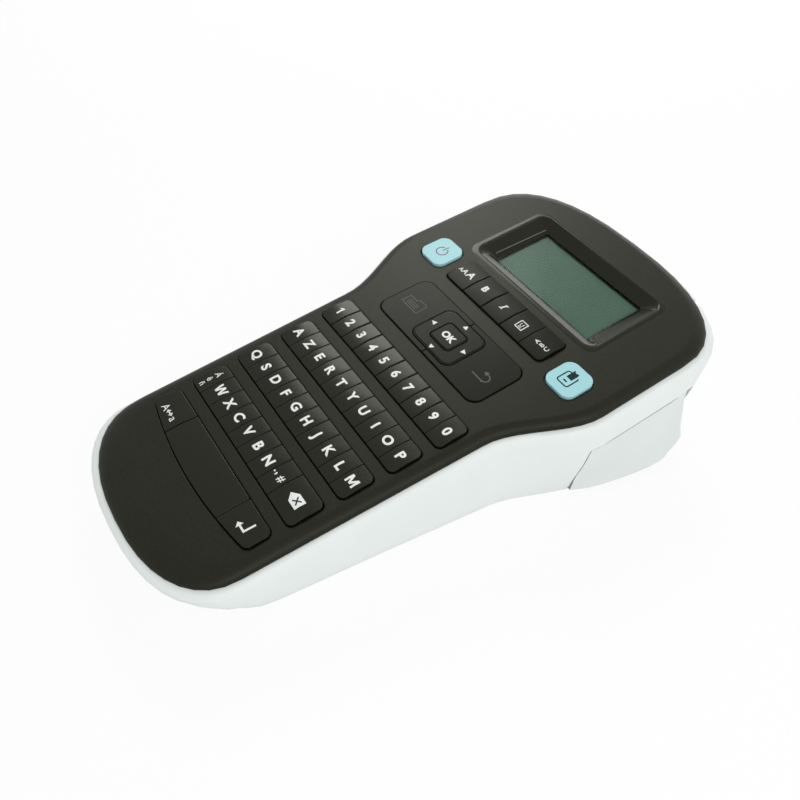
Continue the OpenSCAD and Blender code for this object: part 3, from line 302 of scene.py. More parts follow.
def unlit_display(name, colour, pitch_mm, painted_shadow_mm):
    """Grey-green liquid crystal with a barely visible grid of dots, and a painted shadow of the frame along
    its edges
    """
    material, tree, shader = new_material(name)
    shader.inputs["Roughness"].default_value = DISPLAY_ROUGH
    shader.inputs["Specular IOR Level"].default_value = DISPLAY_SPECULAR
    place = object_coordinates(tree)
    grid = tree.nodes.new("ShaderNodeTexBrick")
    grid.offset = 0
    grid.inputs["Scale"].default_value = 1
    grid.inputs["Brick Width"].default_value = pitch_mm * MM
    grid.inputs["Row Height"].default_value = pitch_mm * MM
    grid.inputs["Mortar Size"].default_value = pitch_mm * MM * DOT_GAP_SHARE
    darker, lighter = shades(colour, DOT_VARY)
    grid.inputs["Color1"].default_value = opaque(colour)
    grid.inputs["Color2"].default_value = lighter
    grid.inputs["Mortar"].default_value = darker
    tree.links.new(place, grid.inputs["Vector"])
    # Painted shadow: the colour darkens within a band along the edges of the window's opening
    low, high = face_box("display_window")
    half = (high - low) / 2 - Vector((WINDOW_LIP_MM, WINDOW_LIP_MM, 0)) * MM
    onto_face = tree.nodes.new("ShaderNodeMapping")
    onto_face.vector_type = "TEXTURE"
    onto_face.inputs["Location"].default_value = from_face((low + high) / 2)
    onto_face.inputs["Rotation"].default_value = FACE_TURN.to_euler()
    tree.links.new(place, onto_face.inputs["Vector"])
    split = tree.nodes.new("ShaderNodeSeparateXYZ")
    tree.links.new(onto_face.outputs["Vector"], split.inputs["Vector"])
    insides = []
    for axis in range(2):
        reach = calculate(tree, "ABSOLUTE", split.outputs[axis])
        insides.append(spread(tree, reach, 1, 0, (half[axis] - painted_shadow_mm * MM, half[axis])))
    clear = calculate(tree, "MINIMUM", *insides)
    shown = colour_between(tree, clear, opaque(FRAME_PAINTED_SHADOW), grid.outputs["Color"])
    tree.links.new(shown, shader.inputs["Base Color"])
    return material


TRACK_CELL_MM = 4
TRACK_EDGE = (0.02, 0.05)
TRACK_RELIEF_MM = 0.03
BOARD_ROUGH = 0.3


def circuit(name, mask, track):
    """Solder mask over a web of tracks"""
    material, tree, shader = new_material(name)
    cells = tree.nodes.new("ShaderNodeTexVoronoi")
    cells.feature = "DISTANCE_TO_EDGE"
    cells.inputs["Scale"].default_value = 1 / (TRACK_CELL_MM * MM)
    tree.links.new(object_coordinates(tree), cells.inputs["Vector"])
    web = spread(tree, cells.outputs["Distance"], 1, 0, TRACK_EDGE)
    tree.links.new(colour_between(tree, web, opaque(mask), opaque(track)), shader.inputs["Base Color"])
    shader.inputs["Roughness"].default_value = BOARD_ROUGH
    bump(tree, web, TRACK_RELIEF_MM, shader)
    return material


JACKET_METAL = 0.6
JACKET_ROUGH = (0.25, 0.4)
JACKET_GRAIN_MM = 2


def banded_cells(name, node, jacket, cap, cap_share):
    """Plain battery jackets with a paler band at both ends of the row of cells"""
    material, tree, shader = new_material(name)
    low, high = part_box(node)
    split = tree.nodes.new("ShaderNodeSeparateXYZ")
    place = object_coordinates(tree)
    tree.links.new(place, split.inputs["Vector"])
    along = spread(tree, split.outputs["Y"], 0, 1, (low.y, high.y))
    ramp = tree.nodes.new("ShaderNodeValToRGB")
    ramp.color_ramp.interpolation = "CONSTANT"
    ramp.color_ramp.elements[0].color = opaque(cap)
    ramp.color_ramp.elements[1].position = cap_share
    ramp.color_ramp.elements[1].color = opaque(jacket)
    end = ramp.color_ramp.elements.new(1 - cap_share)
    end.color = opaque(cap)
    tree.links.new(along, ramp.inputs["Fac"])
    tree.links.new(ramp.outputs["Color"], shader.inputs["Base Color"])
    shader.inputs["Metallic"].default_value = JACKET_METAL
    gloss = spread(tree, noise(tree, place, JACKET_GRAIN_MM), *JACKET_ROUGH)
    tree.links.new(gloss, shader.inputs["Roughness"])
    return material


# Finishes, and the nodes that each of them covers

SHELL_WHITE = (0.80, 0.845, 0.825)
# The lever is the shell's white plastic, painted a little darker as painted shade
LEVER_WHITE_PAINTED_SHADE = (0.735, 0.785, 0.77)
# Painted shade, laid on the lever's edges along the seam
PAINTED_SEAM_SHADE = (0.27, 0.30, 0.29)
COVER_BLACK = (0.0088, 0.009, 0.0055)
COVER_FLECK = (0.05, 0.05, 0.045)
KEY_BLACK = (0.0065, 0.0068, 0.0048)
PANEL_BLACK = (0.0065, 0.006, 0.005)
PALE_BLUE = (0.375, 0.68, 0.715)
DISPLAY_GREEN = (0.063, 0.111, 0.083)
# Black plastic of this kind shines a little green
BLACK_SHINE = (0.98, 1.0, 0.82)
SATIN_WHITE = {"vary": 0.012, "blotch": 18, "rough": (0.4, 0.5), "grain": 0.3, "relief": 0.003,
               "specular": 0.35}

finishes = {
    "cover": surface("cover_satin_black", COVER_BLACK, vary=0.06, blotch=14, rough=(0.34, 0.5), grain=0.32,
                     relief=0.01, specular=0.18, tint=BLACK_SHINE, rounding=0.7, fleck=COVER_FLECK, detail=2),
    "rim": surface("recess_rim_black", COVER_BLACK, vary=0.06, blotch=14, rough=(0.17, 0.25), grain=0.32,
                   relief=0.002, specular=0.2, tint=BLACK_SHINE),
    "shell": surface("shell_satin_white", SHELL_WHITE, **SATIN_WHITE),
    "lever": surface("lever_white_painted_shade", LEVER_WHITE_PAINTED_SHADE, **SATIN_WHITE),
    "seam": surface("seam_painted_shade_grey", PAINTED_SEAM_SHADE, vary=0.03, blotch=6, rough=(0.5, 0.6), grain=0.3,
                    relief=0.003, specular=0.2),
    "key": surface("key_satin_black", KEY_BLACK, vary=0.08, blotch=3, rough=(0.2, 0.28), grain=0.2,
                   relief=0.003, specular=0.22, tint=BLACK_SHINE, rounding=0.4),
    "panel": surface("panel_gloss_black", PANEL_BLACK, vary=0.04, blotch=10, rough=(0.26, 0.34), grain=0.6,
                     relief=0.001, specular=0.1, tint=BLACK_SHINE, rounding=0.4),
    "blue": surface("button_pale_blue", PALE_BLUE, vary=0.02, blotch=4, rough=(0.32, 0.42), grain=0.2,
                    relief=0.002, specular=0.2, rounding=0.5),
    "window": clear_window("window_clear"),
    "display": unlit_display("display_grey_green", DISPLAY_GREEN, pitch_mm=0.55, painted_shadow_mm=1.3),
    "rubber": surface("silicone_dark", (0.05, 0.05, 0.05), vary=0.06, blotch=4, rough=(0.6, 0.75), grain=0.3,
                      relief=0.006),
    "board": circuit("board_green", mask=(0.02, 0.11, 0.045), track=(0.06, 0.22, 0.09)),
    "steel": surface("steel_drawn", (0.58, 0.58, 0.59), vary=0.06, blotch=3, rough=(0.22, 0.38), grain=0.2,
                     relief=0.002, metal=1.0, stretch=(1, 1, 12)),
    "sheet": surface("sheet_coated_grey", (0.11, 0.11, 0.12), vary=0.06, blotch=6, rough=(0.4, 0.55),
                     grain=0.25, relief=0.005, metal=0.4),
    "cells": banded_cells("cell_jackets", "batteries", jacket=(0.02, 0.02, 0.022), cap=(0.45, 0.24, 0.08),
                          cap_share=0.24),
    "head": surface("head_ceramic", (0.03, 0.03, 0.032), vary=0.06, blotch=2, rough=(0.25, 0.35), grain=0.2,
                    relief=0.002),
    "acetal": surface("gear_acetal", (0.70, 0.66, 0.55), vary=0.03, blotch=3, rough=(0.35, 0.45), grain=0.3,
                      relief=0.003),
    "motor": surface("motor_can", (0.55, 0.55, 0.55), vary=0.05, blotch=3, rough=(0.2, 0.35), grain=0.2,
                     relief=0.002, metal=1.0, stretch=(12, 12, 1)),
    "brass": surface("pinion_brass", (0.72, 0.48, 0.16), vary=0.06, blotch=2, rough=(0.22, 0.34), grain=0.15,
                     relief=0.002, metal=1.0),
    "cassette": surface("cassette_grey", (0.52, 0.54, 0.56), vary=0.02, blotch=8, rough=(0.38, 0.5),
                        grain=0.3, relief=0.004),
    "tape": surface("label_stock", (0.86, 0.86, 0.85), vary=0.015, blotch=5, rough=(0.3, 0.42), grain=0.4,
                    relief=0.001),
    "ribbon": surface("ribbon_black", (0.02, 0.02, 0.022), vary=0.1, blotch=1, rough=(0.3, 0.5), grain=0.2,
                      relief=0.004, stretch=(1, 1, 8)),
    # Painted highlight of the glass's edge
    "edge": ink("recess_painted_highlight", (0.16, 0.16, 0.14), rough=0.3),
    "white_ink": ink("legend_white", (0.80, 0.81, 0.78)),
    "grey_ink": ink("legend_grey", (0.085, 0.085, 0.08)),
    "violet_ink": ink("legend_violet", (0.23, 0.12, 0.25)),
    "navy_ink": ink("legend_navy", (0.010, 0.028, 0.034), specular=0.1),
}

node_finish = {
    "cover": ["top_cover"],
    "shell": ["lower_shell", "cassette_door", "battery_cover"],
    "lever": ["cutter_lever"],
    "key": KEYS,
    "panel": PANEL_KEYS,
    "blue": BLUE_BUTTONS,
    "window": ["display_window"],
    "display": ["display_module"],
    "rubber": ["keypad_mat", "platen_roller"],
    "board": ["circuit_board"],
    "steel": ["lever_pin", "lever_spring", "cutter_blade", "battery_contacts", "platen_shaft", "motor_shaft",
              "gear_pin", "shell_screws"],
    "sheet": ["mech_plate", "blade_holder"],
    "cells": ["batteries"],
    "head": ["print_head"],
    "acetal": ["platen_gear", "reduction_gear"],
    "motor": ["drive_motor"],
    "brass": ["motor_pinion"],
    "cassette": ["tape_cassette"],
    "tape": ["tape_roll", "label_tape"],
    "ribbon": ["ribbon_spool"],
}


def paint(obj, finish):
    obj.data.materials.clear()
    obj.data.materials.append(finishes[finish])


# Edges: welded, smooth across shallow angles, and softly rounded where they are sharp

SMOOTH_ANGLE = 32
BEVEL_ANGLE = 40
BEVEL_SEGMENTS = 2
WELD_MM = 0.002
FLAT_WEIGHT = 80
# How far the sharp edges of each kind of piece are rounded, in millimetres
EDGE_ROUND = {"lever": 0.45, "key": 0.22, "panel": 0.25, "blue": 0.75, "cells": 0.3, "cassette": 0.3,
              "motor": 0.3, "tape": 0.05}


def geometry_group(name):
    """A node group for meshes, with its first and last node"""
    group = bpy.data.node_groups.new(name, "GeometryNodeTree")
    for way in ("INPUT", "OUTPUT"):
        group.interface.new_socket("Geometry", in_out=way, socket_type="NodeSocketGeometry")
    return group, group.nodes.new("NodeGroupInput"), group.nodes.new("NodeGroupOutput")


def chain(group, *steps):
    """Passes the mesh from each node to the next"""
    for before, after in zip(steps, steps[1:]):
        group.links.new(before.outputs["Geometry"], after.inputs["Geometry"])


def comparison(group, value, operation, limit):
    test = group.nodes.new("FunctionNodeCompare")
    test.data_type = "FLOAT"
    test.operation = operation
    test.inputs["B"].default_value = limit
    group.links.new(value, test.inputs["A"])
    return test.outputs["Result"]


def smoothing_group(name):
    group, start, end = geometry_group(name)
    strip = group.nodes.new("GeometryNodeRemoveAttribute")
    strip.inputs["Name"].default_value = "custom_normal"
    weld = group.nodes.new("GeometryNodeMergeByDistance")
    weld.inputs["Distance"].default_value = WELD_MM * MM
    faces = group.nodes.new("GeometryNodeSetShadeSmooth")
    faces.domain = "FACE"
    faces.inputs["Shade Smooth"].default_value = True
    edges = group.nodes.new("GeometryNodeSetShadeSmooth")
    edges.domain = "EDGE"
    angle = group.nodes.new("GeometryNodeInputMeshEdgeAngle")
    shallow = comparison(group, angle.outputs["Unsigned Angle"], "LESS_EQUAL", math.radians(SMOOTH_ANGLE))
    group.links.new(shallow, edges.inputs["Shade Smooth"])
    chain(group, start, strip, weld, faces, edges, end)
    return group


smoothing = smoothing_group("moulded_edges")


def soften(obj, round_mm=0.0):
    weld = obj.modifiers.new("moulded_edges", "NODES")
    weld.node_group = smoothing
    if round_mm:
        bevel = obj.modifiers.new("rounded_edges", "BEVEL")
        bevel.width = round_mm * MM
        bevel.segments = BEVEL_SEGMENTS
        bevel.limit_method = "ANGLE"
        bevel.angle_limit = math.radians(BEVEL_ANGLE)
    weighted = obj.modifiers.new("flat_faces", "WEIGHTED_NORMAL")
    weighted.keep_sharp = True
    weighted.weight = FLAT_WEIGHT


for finish, members in node_finish.items():
    for member in members:
        paint(nodes[member], finish)
        soften(nodes[member], EDGE_ROUND.get(finish, 0.0))

# Painted shade: edges of the lever that face the seam above and before it are painted grey, so that the seam
# shows dark

SEAM_FACING = 0.6


def painted_shade_group(name, finish):
    group, start, end = geometry_group(name)
    normal = group.nodes.new("GeometryNodeInputNormal")
    split = group.nodes.new("ShaderNodeSeparateXYZ")
    group.links.new(normal.outputs["Normal"], split.inputs["Vector"])
    either = group.nodes.new("FunctionNodeBooleanMath")
    either.operation = "OR"
    upward = comparison(group, split.outputs["Z"], "GREATER_THAN", SEAM_FACING)
    forward = comparison(group, split.outputs["Y"], "LESS_THAN", -SEAM_FACING)
    group.links.new(upward, either.inputs[0])
    group.links.new(forward, either.inputs[1])
    coat = group.nodes.new("GeometryNodeSetMaterial")
    coat.inputs["Material"].default_value = finishes[finish]
    group.links.new(either.outputs["Boolean"], coat.inputs["Selection"])
    chain(group, start, coat, end)
    return group


seam_shade = nodes["cutter_lever"].modifiers.new("seam_shade", "NODES")
seam_shade.node_group = painted_shade_group("seam_shade", "seam")

# Return spring of the lever, a copy of its node that rides with the node's body

spring = add_object("return_spring", nodes["lever_spring"].data.copy())
paint(spring, "steel")
soften(spring)
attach(spring, body_of("lever_spring"))
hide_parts("lever_spring")
spring_root = middle("lever_spring")
spring_root.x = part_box("lever_spring")[0].x
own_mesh(spring)

# Flat outlines for legends, in millimetres

CORNER_ARC_STEPS = 6
LEAST_MITRE = 0.35
LEAST_RADIUS = 0.05


def arc(centre, radius, start, end, steps):
    """Points along an arc, angles in degrees"""
    turns = [math.radians(start + (end - start) * step / steps) for step in range(steps + 1)]
    return [(centre[0] + radius * math.cos(turn), centre[1] + radius * math.sin(turn)) for turn in turns]


def stroke(points, width):
    """Outline of an open line of even width, with mitred corners"""
    line = [Vector(point) for point in points]
    left, right = [], []
    for index, point in enumerate(line):
        before = (point - line[index - 1]).normalized() if index > 0 else None
        after = (line[index + 1] - point).normalized() if index < len(line) - 1 else None
        first = before or after
        second = after or before
        across = Vector((-first.y - second.y, first.x + second.x)).normalized()
        reach = width / 2 / max(LEAST_MITRE, across.dot(Vector((-first.y, first.x))))
        left.append(tuple(point + across * reach))
        right.append(tuple(point - across * reach))
    return left + right[::-1]


def rounded_box(width, height, radius):
    corners = [(1, 1, 0), (-1, 1, 90), (-1, -1, 180), (1, -1, 270)]
    points = []
    for side, end, start in corners:
        heart = (side * (width / 2 - radius), end * (height / 2 - radius))
        points += arc(heart, radius, start, start + 90, CORNER_ARC_STEPS)
    return points


def box_line(width, height, radius, line):
    """A closed line round a rounded box, as an outer and an inner outline"""
    inner = max(LEAST_RADIUS, radius - line)
    return [rounded_box(width, height, radius), rounded_box(width - 2 * line, height - 2 * line, inner)]


# Flat ink, laid on the surface of a key

INK_MM = 0.06
LETTER_BOLD = 0.036
LETTER_STEPS = 4
# Height of a capital as a share of the font's size
CAP_SHARE = 0.73


def curve_to_mesh(curve):
    holder = add_object("holder", curve)
    bpy.context.view_layer.update()
    evaluated = holder.evaluated_get(bpy.context.evaluated_depsgraph_get())
    mesh = bpy.data.meshes.new_from_object(evaluated)
    bpy.data.objects.remove(holder)
    bpy.data.curves.remove(curve)
    return mesh


def outline_mesh(outlines):
    """A thin filled solid from closed outlines; an outline inside another is a hole"""
    curve = bpy.data.curves.new("outline", "CURVE")
    curve.dimensions = "2D"
    curve.fill_mode = "BOTH"
    curve.extrude = INK_MM * MM / 2
    for outline in outlines:
        spline = curve.splines.new("POLY")
        spline.points.add(len(outline) - 1)
        spline.use_cyclic_u = True
        for point, place in zip(spline.points, outline):
            point.co = (place[0] * MM, place[1] * MM, 0, 1)
    return curve_to_mesh(curve)


def text_mesh(text, cap_mm, bold=LETTER_BOLD):
    """Upright sans lettering with capitals cap_mm tall, centred on the origin"""
    size = cap_mm * MM / CAP_SHARE
    curve = bpy.data.curves.new("lettering", "FONT")
    curve.body = text
    curve.size = size
    curve.offset = bold * size
    curve.extrude = INK_MM * MM / 2
    curve.resolution_u = LETTER_STEPS
    curve.align_x = "CENTER"
    mesh = curve_to_mesh(curve)
    mesh.transform(Matrix.Translation((0, -cap_mm * MM / 2, 0)))
    return mesh


def placed(mesh, offset_mm, turn_deg=0.0):
    """Turns a flat mesh and moves it, in the face frame"""
    turn = Matrix.Rotation(math.radians(turn_deg), 4, "Z")
    mesh.transform(Matrix.Translation((offset_mm[0] * MM, offset_mm[1] * MM, 0)) @ turn)
    return mesh


def inked(outlines, offset_mm, turn_deg=0.0):
    """One flat mesh for each outline"""
    return [placed(outline_mesh([outline]), offset_mm, turn_deg) for outline in outlines]


def key_middle(node, across=0.0, along=0.0):
    """Middle of a key in the face frame, moved across and along, in millimetres"""
    low, high = face_box(node)
    heart = (low + high) / 2 / MM
    return heart.x + across, heart.y + along


LAY_STEP = 0.6 * MM
SAME_POINT = 1e-7
SAME_PLANE = 1e-8


def lay_on(node, name, meshes, finish, lift_mm=0.0):
    """Lays flat ink on a node's upper surface, one piece that rides with the node's body"""
    sheet = bmesh.new()
    for mesh in meshes:
        sheet.from_mesh(mesh)
        bpy.data.meshes.remove(mesh)
    bmesh.ops.remove_doubles(sheet, verts=sheet.verts, dist=SAME_POINT)
    ys = [vertex.co.y for vertex in sheet.verts]
    first = math.floor(min(ys) / LAY_STEP)
    last = math.ceil(max(ys) / LAY_STEP)
    for index in range(first, last + 1):
        parts = sheet.verts[:] + sheet.edges[:] + sheet.faces[:]
        cut = Vector((0, index * LAY_STEP, 0))
        bmesh.ops.bisect_plane(sheet, geom=parts, plane_co=cut, plane_no=(0, 1, 0), dist=SAME_PLANE)
    ground = nodes[node].data
    tree = BVHTree.FromPolygons([to_face(vertex.co) for vertex in ground.vertices],
                                [list(polygon.vertices) for polygon in ground.polygons])
    high = face_box(node)[1].z
    for vertex in sheet.verts:
        above = Vector((vertex.co.x, vertex.co.y, high + MM))
        hit = tree.ray_cast(above, Vector((0, 0, -1)))[0]
        level = hit.z if hit else high
        vertex.co = from_face(Vector((vertex.co.x, vertex.co.y, level + vertex.co.z + lift_mm * MM)))
    bmesh.ops.recalc_face_normals(sheet, faces=sheet.faces)
    mesh = bpy.data.meshes.new(name)
    sheet.to_mesh(mesh)
    sheet.free()
    obj = add_object(name, mesh)
    paint(obj, finish)
    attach(obj, body_of(node))


# Legends of the keyboard

LETTER_CAP = 3.3

# Signs that the font lacks in this form, or whose strokes meet too closely for its bold offset
DRAWN_SIGNS = {
    "1": [(-0.05, -1.65), (0.62, -1.65), (0.62, 1.65), (0.1, 1.65), (-0.95, 0.95), (-0.62, 0.42),
          (-0.05, 0.78)],
    "M": [(-1.8, -1.65), (-1.8, 1.65), (-0.95, 1.65), (0, -0.35), (0.95, 1.65), (1.8, 1.65), (1.8, -1.65),
          (1.1, -1.65), (1.1, 0.35), (0.35, -1.25), (-0.35, -1.25), (-1.1, 0.35), (-1.1, -1.65)],
    "W": [(-2.15, 1.65), (-1.42, 1.65), (-0.98, -0.5), (-0.36, 1.65), (0.36, 1.65), (0.98, -0.5),
          (1.42, 1.65), (2.15, 1.65), (1.4, -1.65), (0.62, -1.65), (0, 0.45), (-0.62, -1.65), (-1.4, -1.65)],
}

ACCENT_CAP = 2.1
ACCENT_BOLD = 0.005
ACCENTS_ALONG = {"Á": 2.2, "ê": -0.8, "ñ": -3.6}
# Each mark with the height of its capitals, its boldness and its place on the last key of the row
MARKS = ((".", 3.0, 0.012, (-2.2, 1.0)), (",", 3.0, 0.012, (-1.1, 1.0)), ("#", 2.5, 0.01, (1.4, 0.0)))


def sign_mesh(sign):
    drawn = DRAWN_SIGNS.get(sign)
    return outline_mesh([drawn]) if drawn else text_mesh(sign, LETTER_CAP)


for digit in DIGITS:
    key = f"digit_key_{digit}"
    lay_on(key, f"legend_{digit}", [placed(sign_mesh(digit), key_middle(key))], "white_ink")

for row, letters in LETTER_ROWS.items():
    low, high = face_box(row)
    pitch = (high.x - low.x) / len(letters) / MM
    row_y = (low.y + high.y) / 2 / MM
    first_x = low.x / MM + pitch / 2
    last_x = high.x / MM - pitch / 2
    meshes = []
    for index, letter in enumerate(letters):
        if letter != " ":
            meshes.append(placed(sign_mesh(letter), (first_x + pitch * index, row_y)))
    if row == "letter_keys_bottom":
        for accent, along in ACCENTS_ALONG.items():
            meshes.append(placed(text_mesh(accent, ACCENT_CAP, ACCENT_BOLD), (first_x, row_y + along)))
        for mark, cap, bold, (across, along) in MARKS:
            meshes.append(placed(text_mesh(mark, cap, bold), (last_x + across, row_y + along)))
    lay_on(row, f"legends_{row}", meshes, "white_ink")

CASE_AT = (1.0, -0.7)
CASE_CAP = 2.6
CASE_REACH = 2.7
CASE_LINE = 0.42
case_arrow = [stroke([(-0.9, 0), (0.9, 0)], CASE_LINE)]
case_arrow += [[(side * 1.5, 0), (side * 0.5, 0.85), (side * 0.5, -0.85)] for side in (-1, 1)]
caps = [placed(text_mesh(letter, CASE_CAP, 0.0), key_middle("caps_key", CASE_AT[0] + across, CASE_AT[1]))
        for letter, across in (("A", -CASE_REACH), ("a", CASE_REACH))]
caps += inked(case_arrow, key_middle("caps_key", *CASE_AT))
lay_on("caps_key", "legend_caps", caps, "white_ink")

ENTER_LINE = 0.62
enter_shaft = stroke([(1.6, 3.4), (1.6, -0.4), (-0.9, -0.4)], ENTER_LINE)
enter_head = [(-2.2, -0.4), (-0.8, 0.85), (-0.8, -1.65)]
lay_on("enter_key", "legend_enter", inked([enter_shaft, enter_head], key_middle("enter_key")), "white_ink")

CROSS_LINE = 0.42
CROSS_LIFT_MM = 0.04
tag = [(-3.0, 0), (-1.0, 1.9), (2.6, 1.9), (2.6, -1.9), (-1.0, -1.9)]
cross = [stroke([(-0.4, -rise), (1.6, rise)], CROSS_LINE) for rise in (1.0, -1.0)]
tag_at = key_middle("backspace_key")
lay_on("backspace_key", "legend_backspace", inked([tag], tag_at), "white_ink")
lay_on("backspace_key", "legend_backspace_cross", inked(cross, tag_at), "navy_ink", CROSS_LIFT_MM)

# Legends of the format keys

SIZE_BOLD = 0.02
SIZE_BASELINE = -1.05
# Heights of the three capitals and their places
SIZE_CAPS = ((1.6, -3.4), (2.3, -1.5), (3.2, 1.4))
sizes_shown = [placed(text_mesh("A", cap, SIZE_BOLD), key_middle("size_key", across, SIZE_BASELINE + cap / 2))
               for cap, across in SIZE_CAPS]
lay_on("size_key", "legend_size", sizes_shown, "white_ink")

SIGN_CAP = 2.7
SIGN_BOLD = 0.045
BOLD_AT = (-0.5, 0.4)
bold_sign = placed(text_mesh("B", SIGN_CAP, SIGN_BOLD), key_middle("bold_key", *BOLD_AT))
lay_on("bold_key", "legend_bold", [bold_sign], "white_ink")

LEAN = 0.42
ITALIC_HALF = 1.2
ITALIC_LINE = 0.6
SERIF_HALF = 0.75
SERIF_LINE = 0.3
italic = [stroke([(-LEAN, -ITALIC_HALF), (LEAN, ITALIC_HALF)], ITALIC_LINE)]
for end in (-1, 1):
    serif = [(end * LEAN + side * SERIF_HALF, end * ITALIC_HALF) for side in (-1, 1)]
    italic.append(stroke(serif, SERIF_LINE))
lay_on("italic_key", "legend_italic", inked(italic, key_middle("italic_key")), "white_ink")

FRAME_ALONG = -0.6
FRAMED_RISE = 0.2
FRAMED_CAP = 1.7
UNDERLINE = 0.25
frame_at = key_middle("frame_key", 0, FRAME_ALONG)
framed = [placed(outline_mesh(box_line(width=3.5, height=3.7, radius=0.3, line=0.34)), frame_at)]
framed.append(placed(text_mesh("U", FRAMED_CAP, 0.0), key_middle("frame_key", 0, FRAME_ALONG + FRAMED_RISE)))
framed += inked([stroke([(-0.75, -1.05), (0.75, -1.05)], UNDERLINE)], frame_at)
lay_on("frame_key", "legend_frame", framed, "white_ink")

UPENDED_CAP = 1.8
UPENDED_BOLD = 0.01
UPENDED_ALONG = -1.0
UPENDED_LETTERS = {"A": -1.8, "B": 0.4, "C": 2.6}
upended = []
for letter, across in UPENDED_LETTERS.items():
    letter_at = key_middle("vertical_key", across, UPENDED_ALONG)
    upended.append(placed(text_mesh(letter, UPENDED_CAP, UPENDED_BOLD), letter_at, 90))
lay_on("vertical_key", "legend_vertical", upended, "white_ink")

# Legends of the pad

ARROW = [(1.25, 0), (-0.6, 0.95), (-0.6, -0.95)]
ARROW_PLACES = {0: (8.1, 0), 90: (0, 7.1), 180: (-8.1, 0), 270: (0, -7.1)}
arrows = []
for turn, place in ARROW_PLACES.items():
    arrows += inked([ARROW], key_middle("nav_ring", *place), turn)
lay_on("nav_ring", "legend_four_way", arrows, "white_ink")
lay_on("ok_button", "legend_ok", [placed(text_mesh("OK", SIGN_CAP, SIGN_BOLD), key_middle("ok_button"))],
       "white_ink")

MENU_AT = (-19.6, -0.2)
MENU_LINE = 0.24
folder = [(-4.0, -2.4), (4.0, -2.4), (4.0, 2.0), (3.4, 2.6), (0.2, 2.6), (-0.6, 1.4), (-4.0, 1.4),
          (-4.0, -2.4)]
menu = [stroke(folder, MENU_LINE)]
menu += [stroke([(-2.6, along), (2.4, along)], MENU_LINE) for along in (0.2, -0.6, -1.4)]
lay_on("menu_key", "legend_menu", inked(menu, MENU_AT), "grey_ink")

BACK_AT = (19.6, -1.0)
BACK_LINE = 0.36
HOOK_RADIUS = 1.6
HOOK_STEPS = 10
hook = [(-3.4, -HOOK_RADIUS), (1.2, -HOOK_RADIUS)]
hook += arc((1.2, 0), HOOK_RADIUS, -90, 90, HOOK_STEPS) + [(0.2, HOOK_RADIUS)]
back_head = [(-0.9, 1.6), (0.5, 2.5), (0.5, 0.7)]
lay_on("back_key", "legend_back", inked([stroke(hook, BACK_LINE), back_head], BACK_AT), "grey_ink")

# Legends of the blue buttons

POWER_RADIUS = 2.1
POWER_REACH = (112, 428)
POWER_STEPS = 28
POWER_RING_LINE = 0.48
POWER_BAR_LINE = 0.44
power = [stroke(arc((0, 0), POWER_RADIUS, *POWER_REACH, POWER_STEPS), POWER_RING_LINE)]
power.append(stroke([(0, 0.4), (0, 3.2)], POWER_BAR_LINE))
lay_on("power_button", "legend_power", inked(power, key_middle("power_button")), "violet_ink")

PRINT_AT = (-0.4, -0.3)
SHEET_HALF = (2.3, 2.7)
SHEET_ROUND = 0.8
SHEET_LINE = 0.46
# The sheet's line stops within its last corner, at this angle
SHEET_END = 50
SHEET_END_STEPS = 4
DASH_LINE = 0.56
corner = Vector((SHEET_HALF[0] - SHEET_ROUND, SHEET_HALF[1] - SHEET_ROUND))
outlet = [(-1.0, SHEET_HALF[1])]
outlet += arc((-corner.x, corner.y), SHEET_ROUND, 90, 180, CORNER_ARC_STEPS)
outlet += arc(-corner, SHEET_ROUND, 180, 270, CORNER_ARC_STEPS)
outlet += arc((corner.x, -corner.y), SHEET_ROUND, 270, 360, CORNER_ARC_STEPS)
outlet += arc(corner, SHEET_ROUND, 0, SHEET_END, SHEET_END_STEPS)
label = [(-1.1, 0.45), (1.25, 0.35), (1.25, 3.2), (0.9, 4.0), (-0.2, 3.6), (-1.1, 4.3)]
dash = [(-0.8, -1.1), (0.7, -1.1)]
print_sign = [stroke(outlet, SHEET_LINE), label, stroke(dash, DASH_LINE)]
lay_on("print_button", "legend_print", inked(print_sign, key_middle("print_button", *PRINT_AT)), "navy_ink")

# Soft rim of the display recess: a thin moulded skin that rolls off the face and down to the window

RECESS_HALF = 30.5
RECESS_NEAR = 34.4
RECESS_FAR = 68.3
RIM_LIFT = 0.13
RIM_BLEND = 0.07
RIM_CORNERS = (4.0, 0.8)
NEAR_SLOPE = 0.4245
NEAR_DROP_AT = 0.62
# Steps across the rim, 0 at the edge of the recess and 1 at the window
RIM_STEPS = (-0.4, -0.32, -0.24, -0.17, -0.11, -0.06, -0.02, 0.02, 0.06, 0.11, 0.17, 0.26, 0.38, 0.5, 0.58,
             0.62, 0.66, 0.74, 0.87, 1.0)
# The rim grows out of the face over the first steps and thins out towards the window
RIM_RISE = 0.3
RIM_FADE = 0.9
# How deep the outer edge is tucked into the face, and the steps and depths of the skin's hidden back
RIM_TUCK = 0.04
RIM_BACK = ((1.0, 0.12), (0.9, 0.5), (0.0, 0.5), (-0.36, 0.3))
CORNER_STEPS = 8
SIDE_STEPS = 6


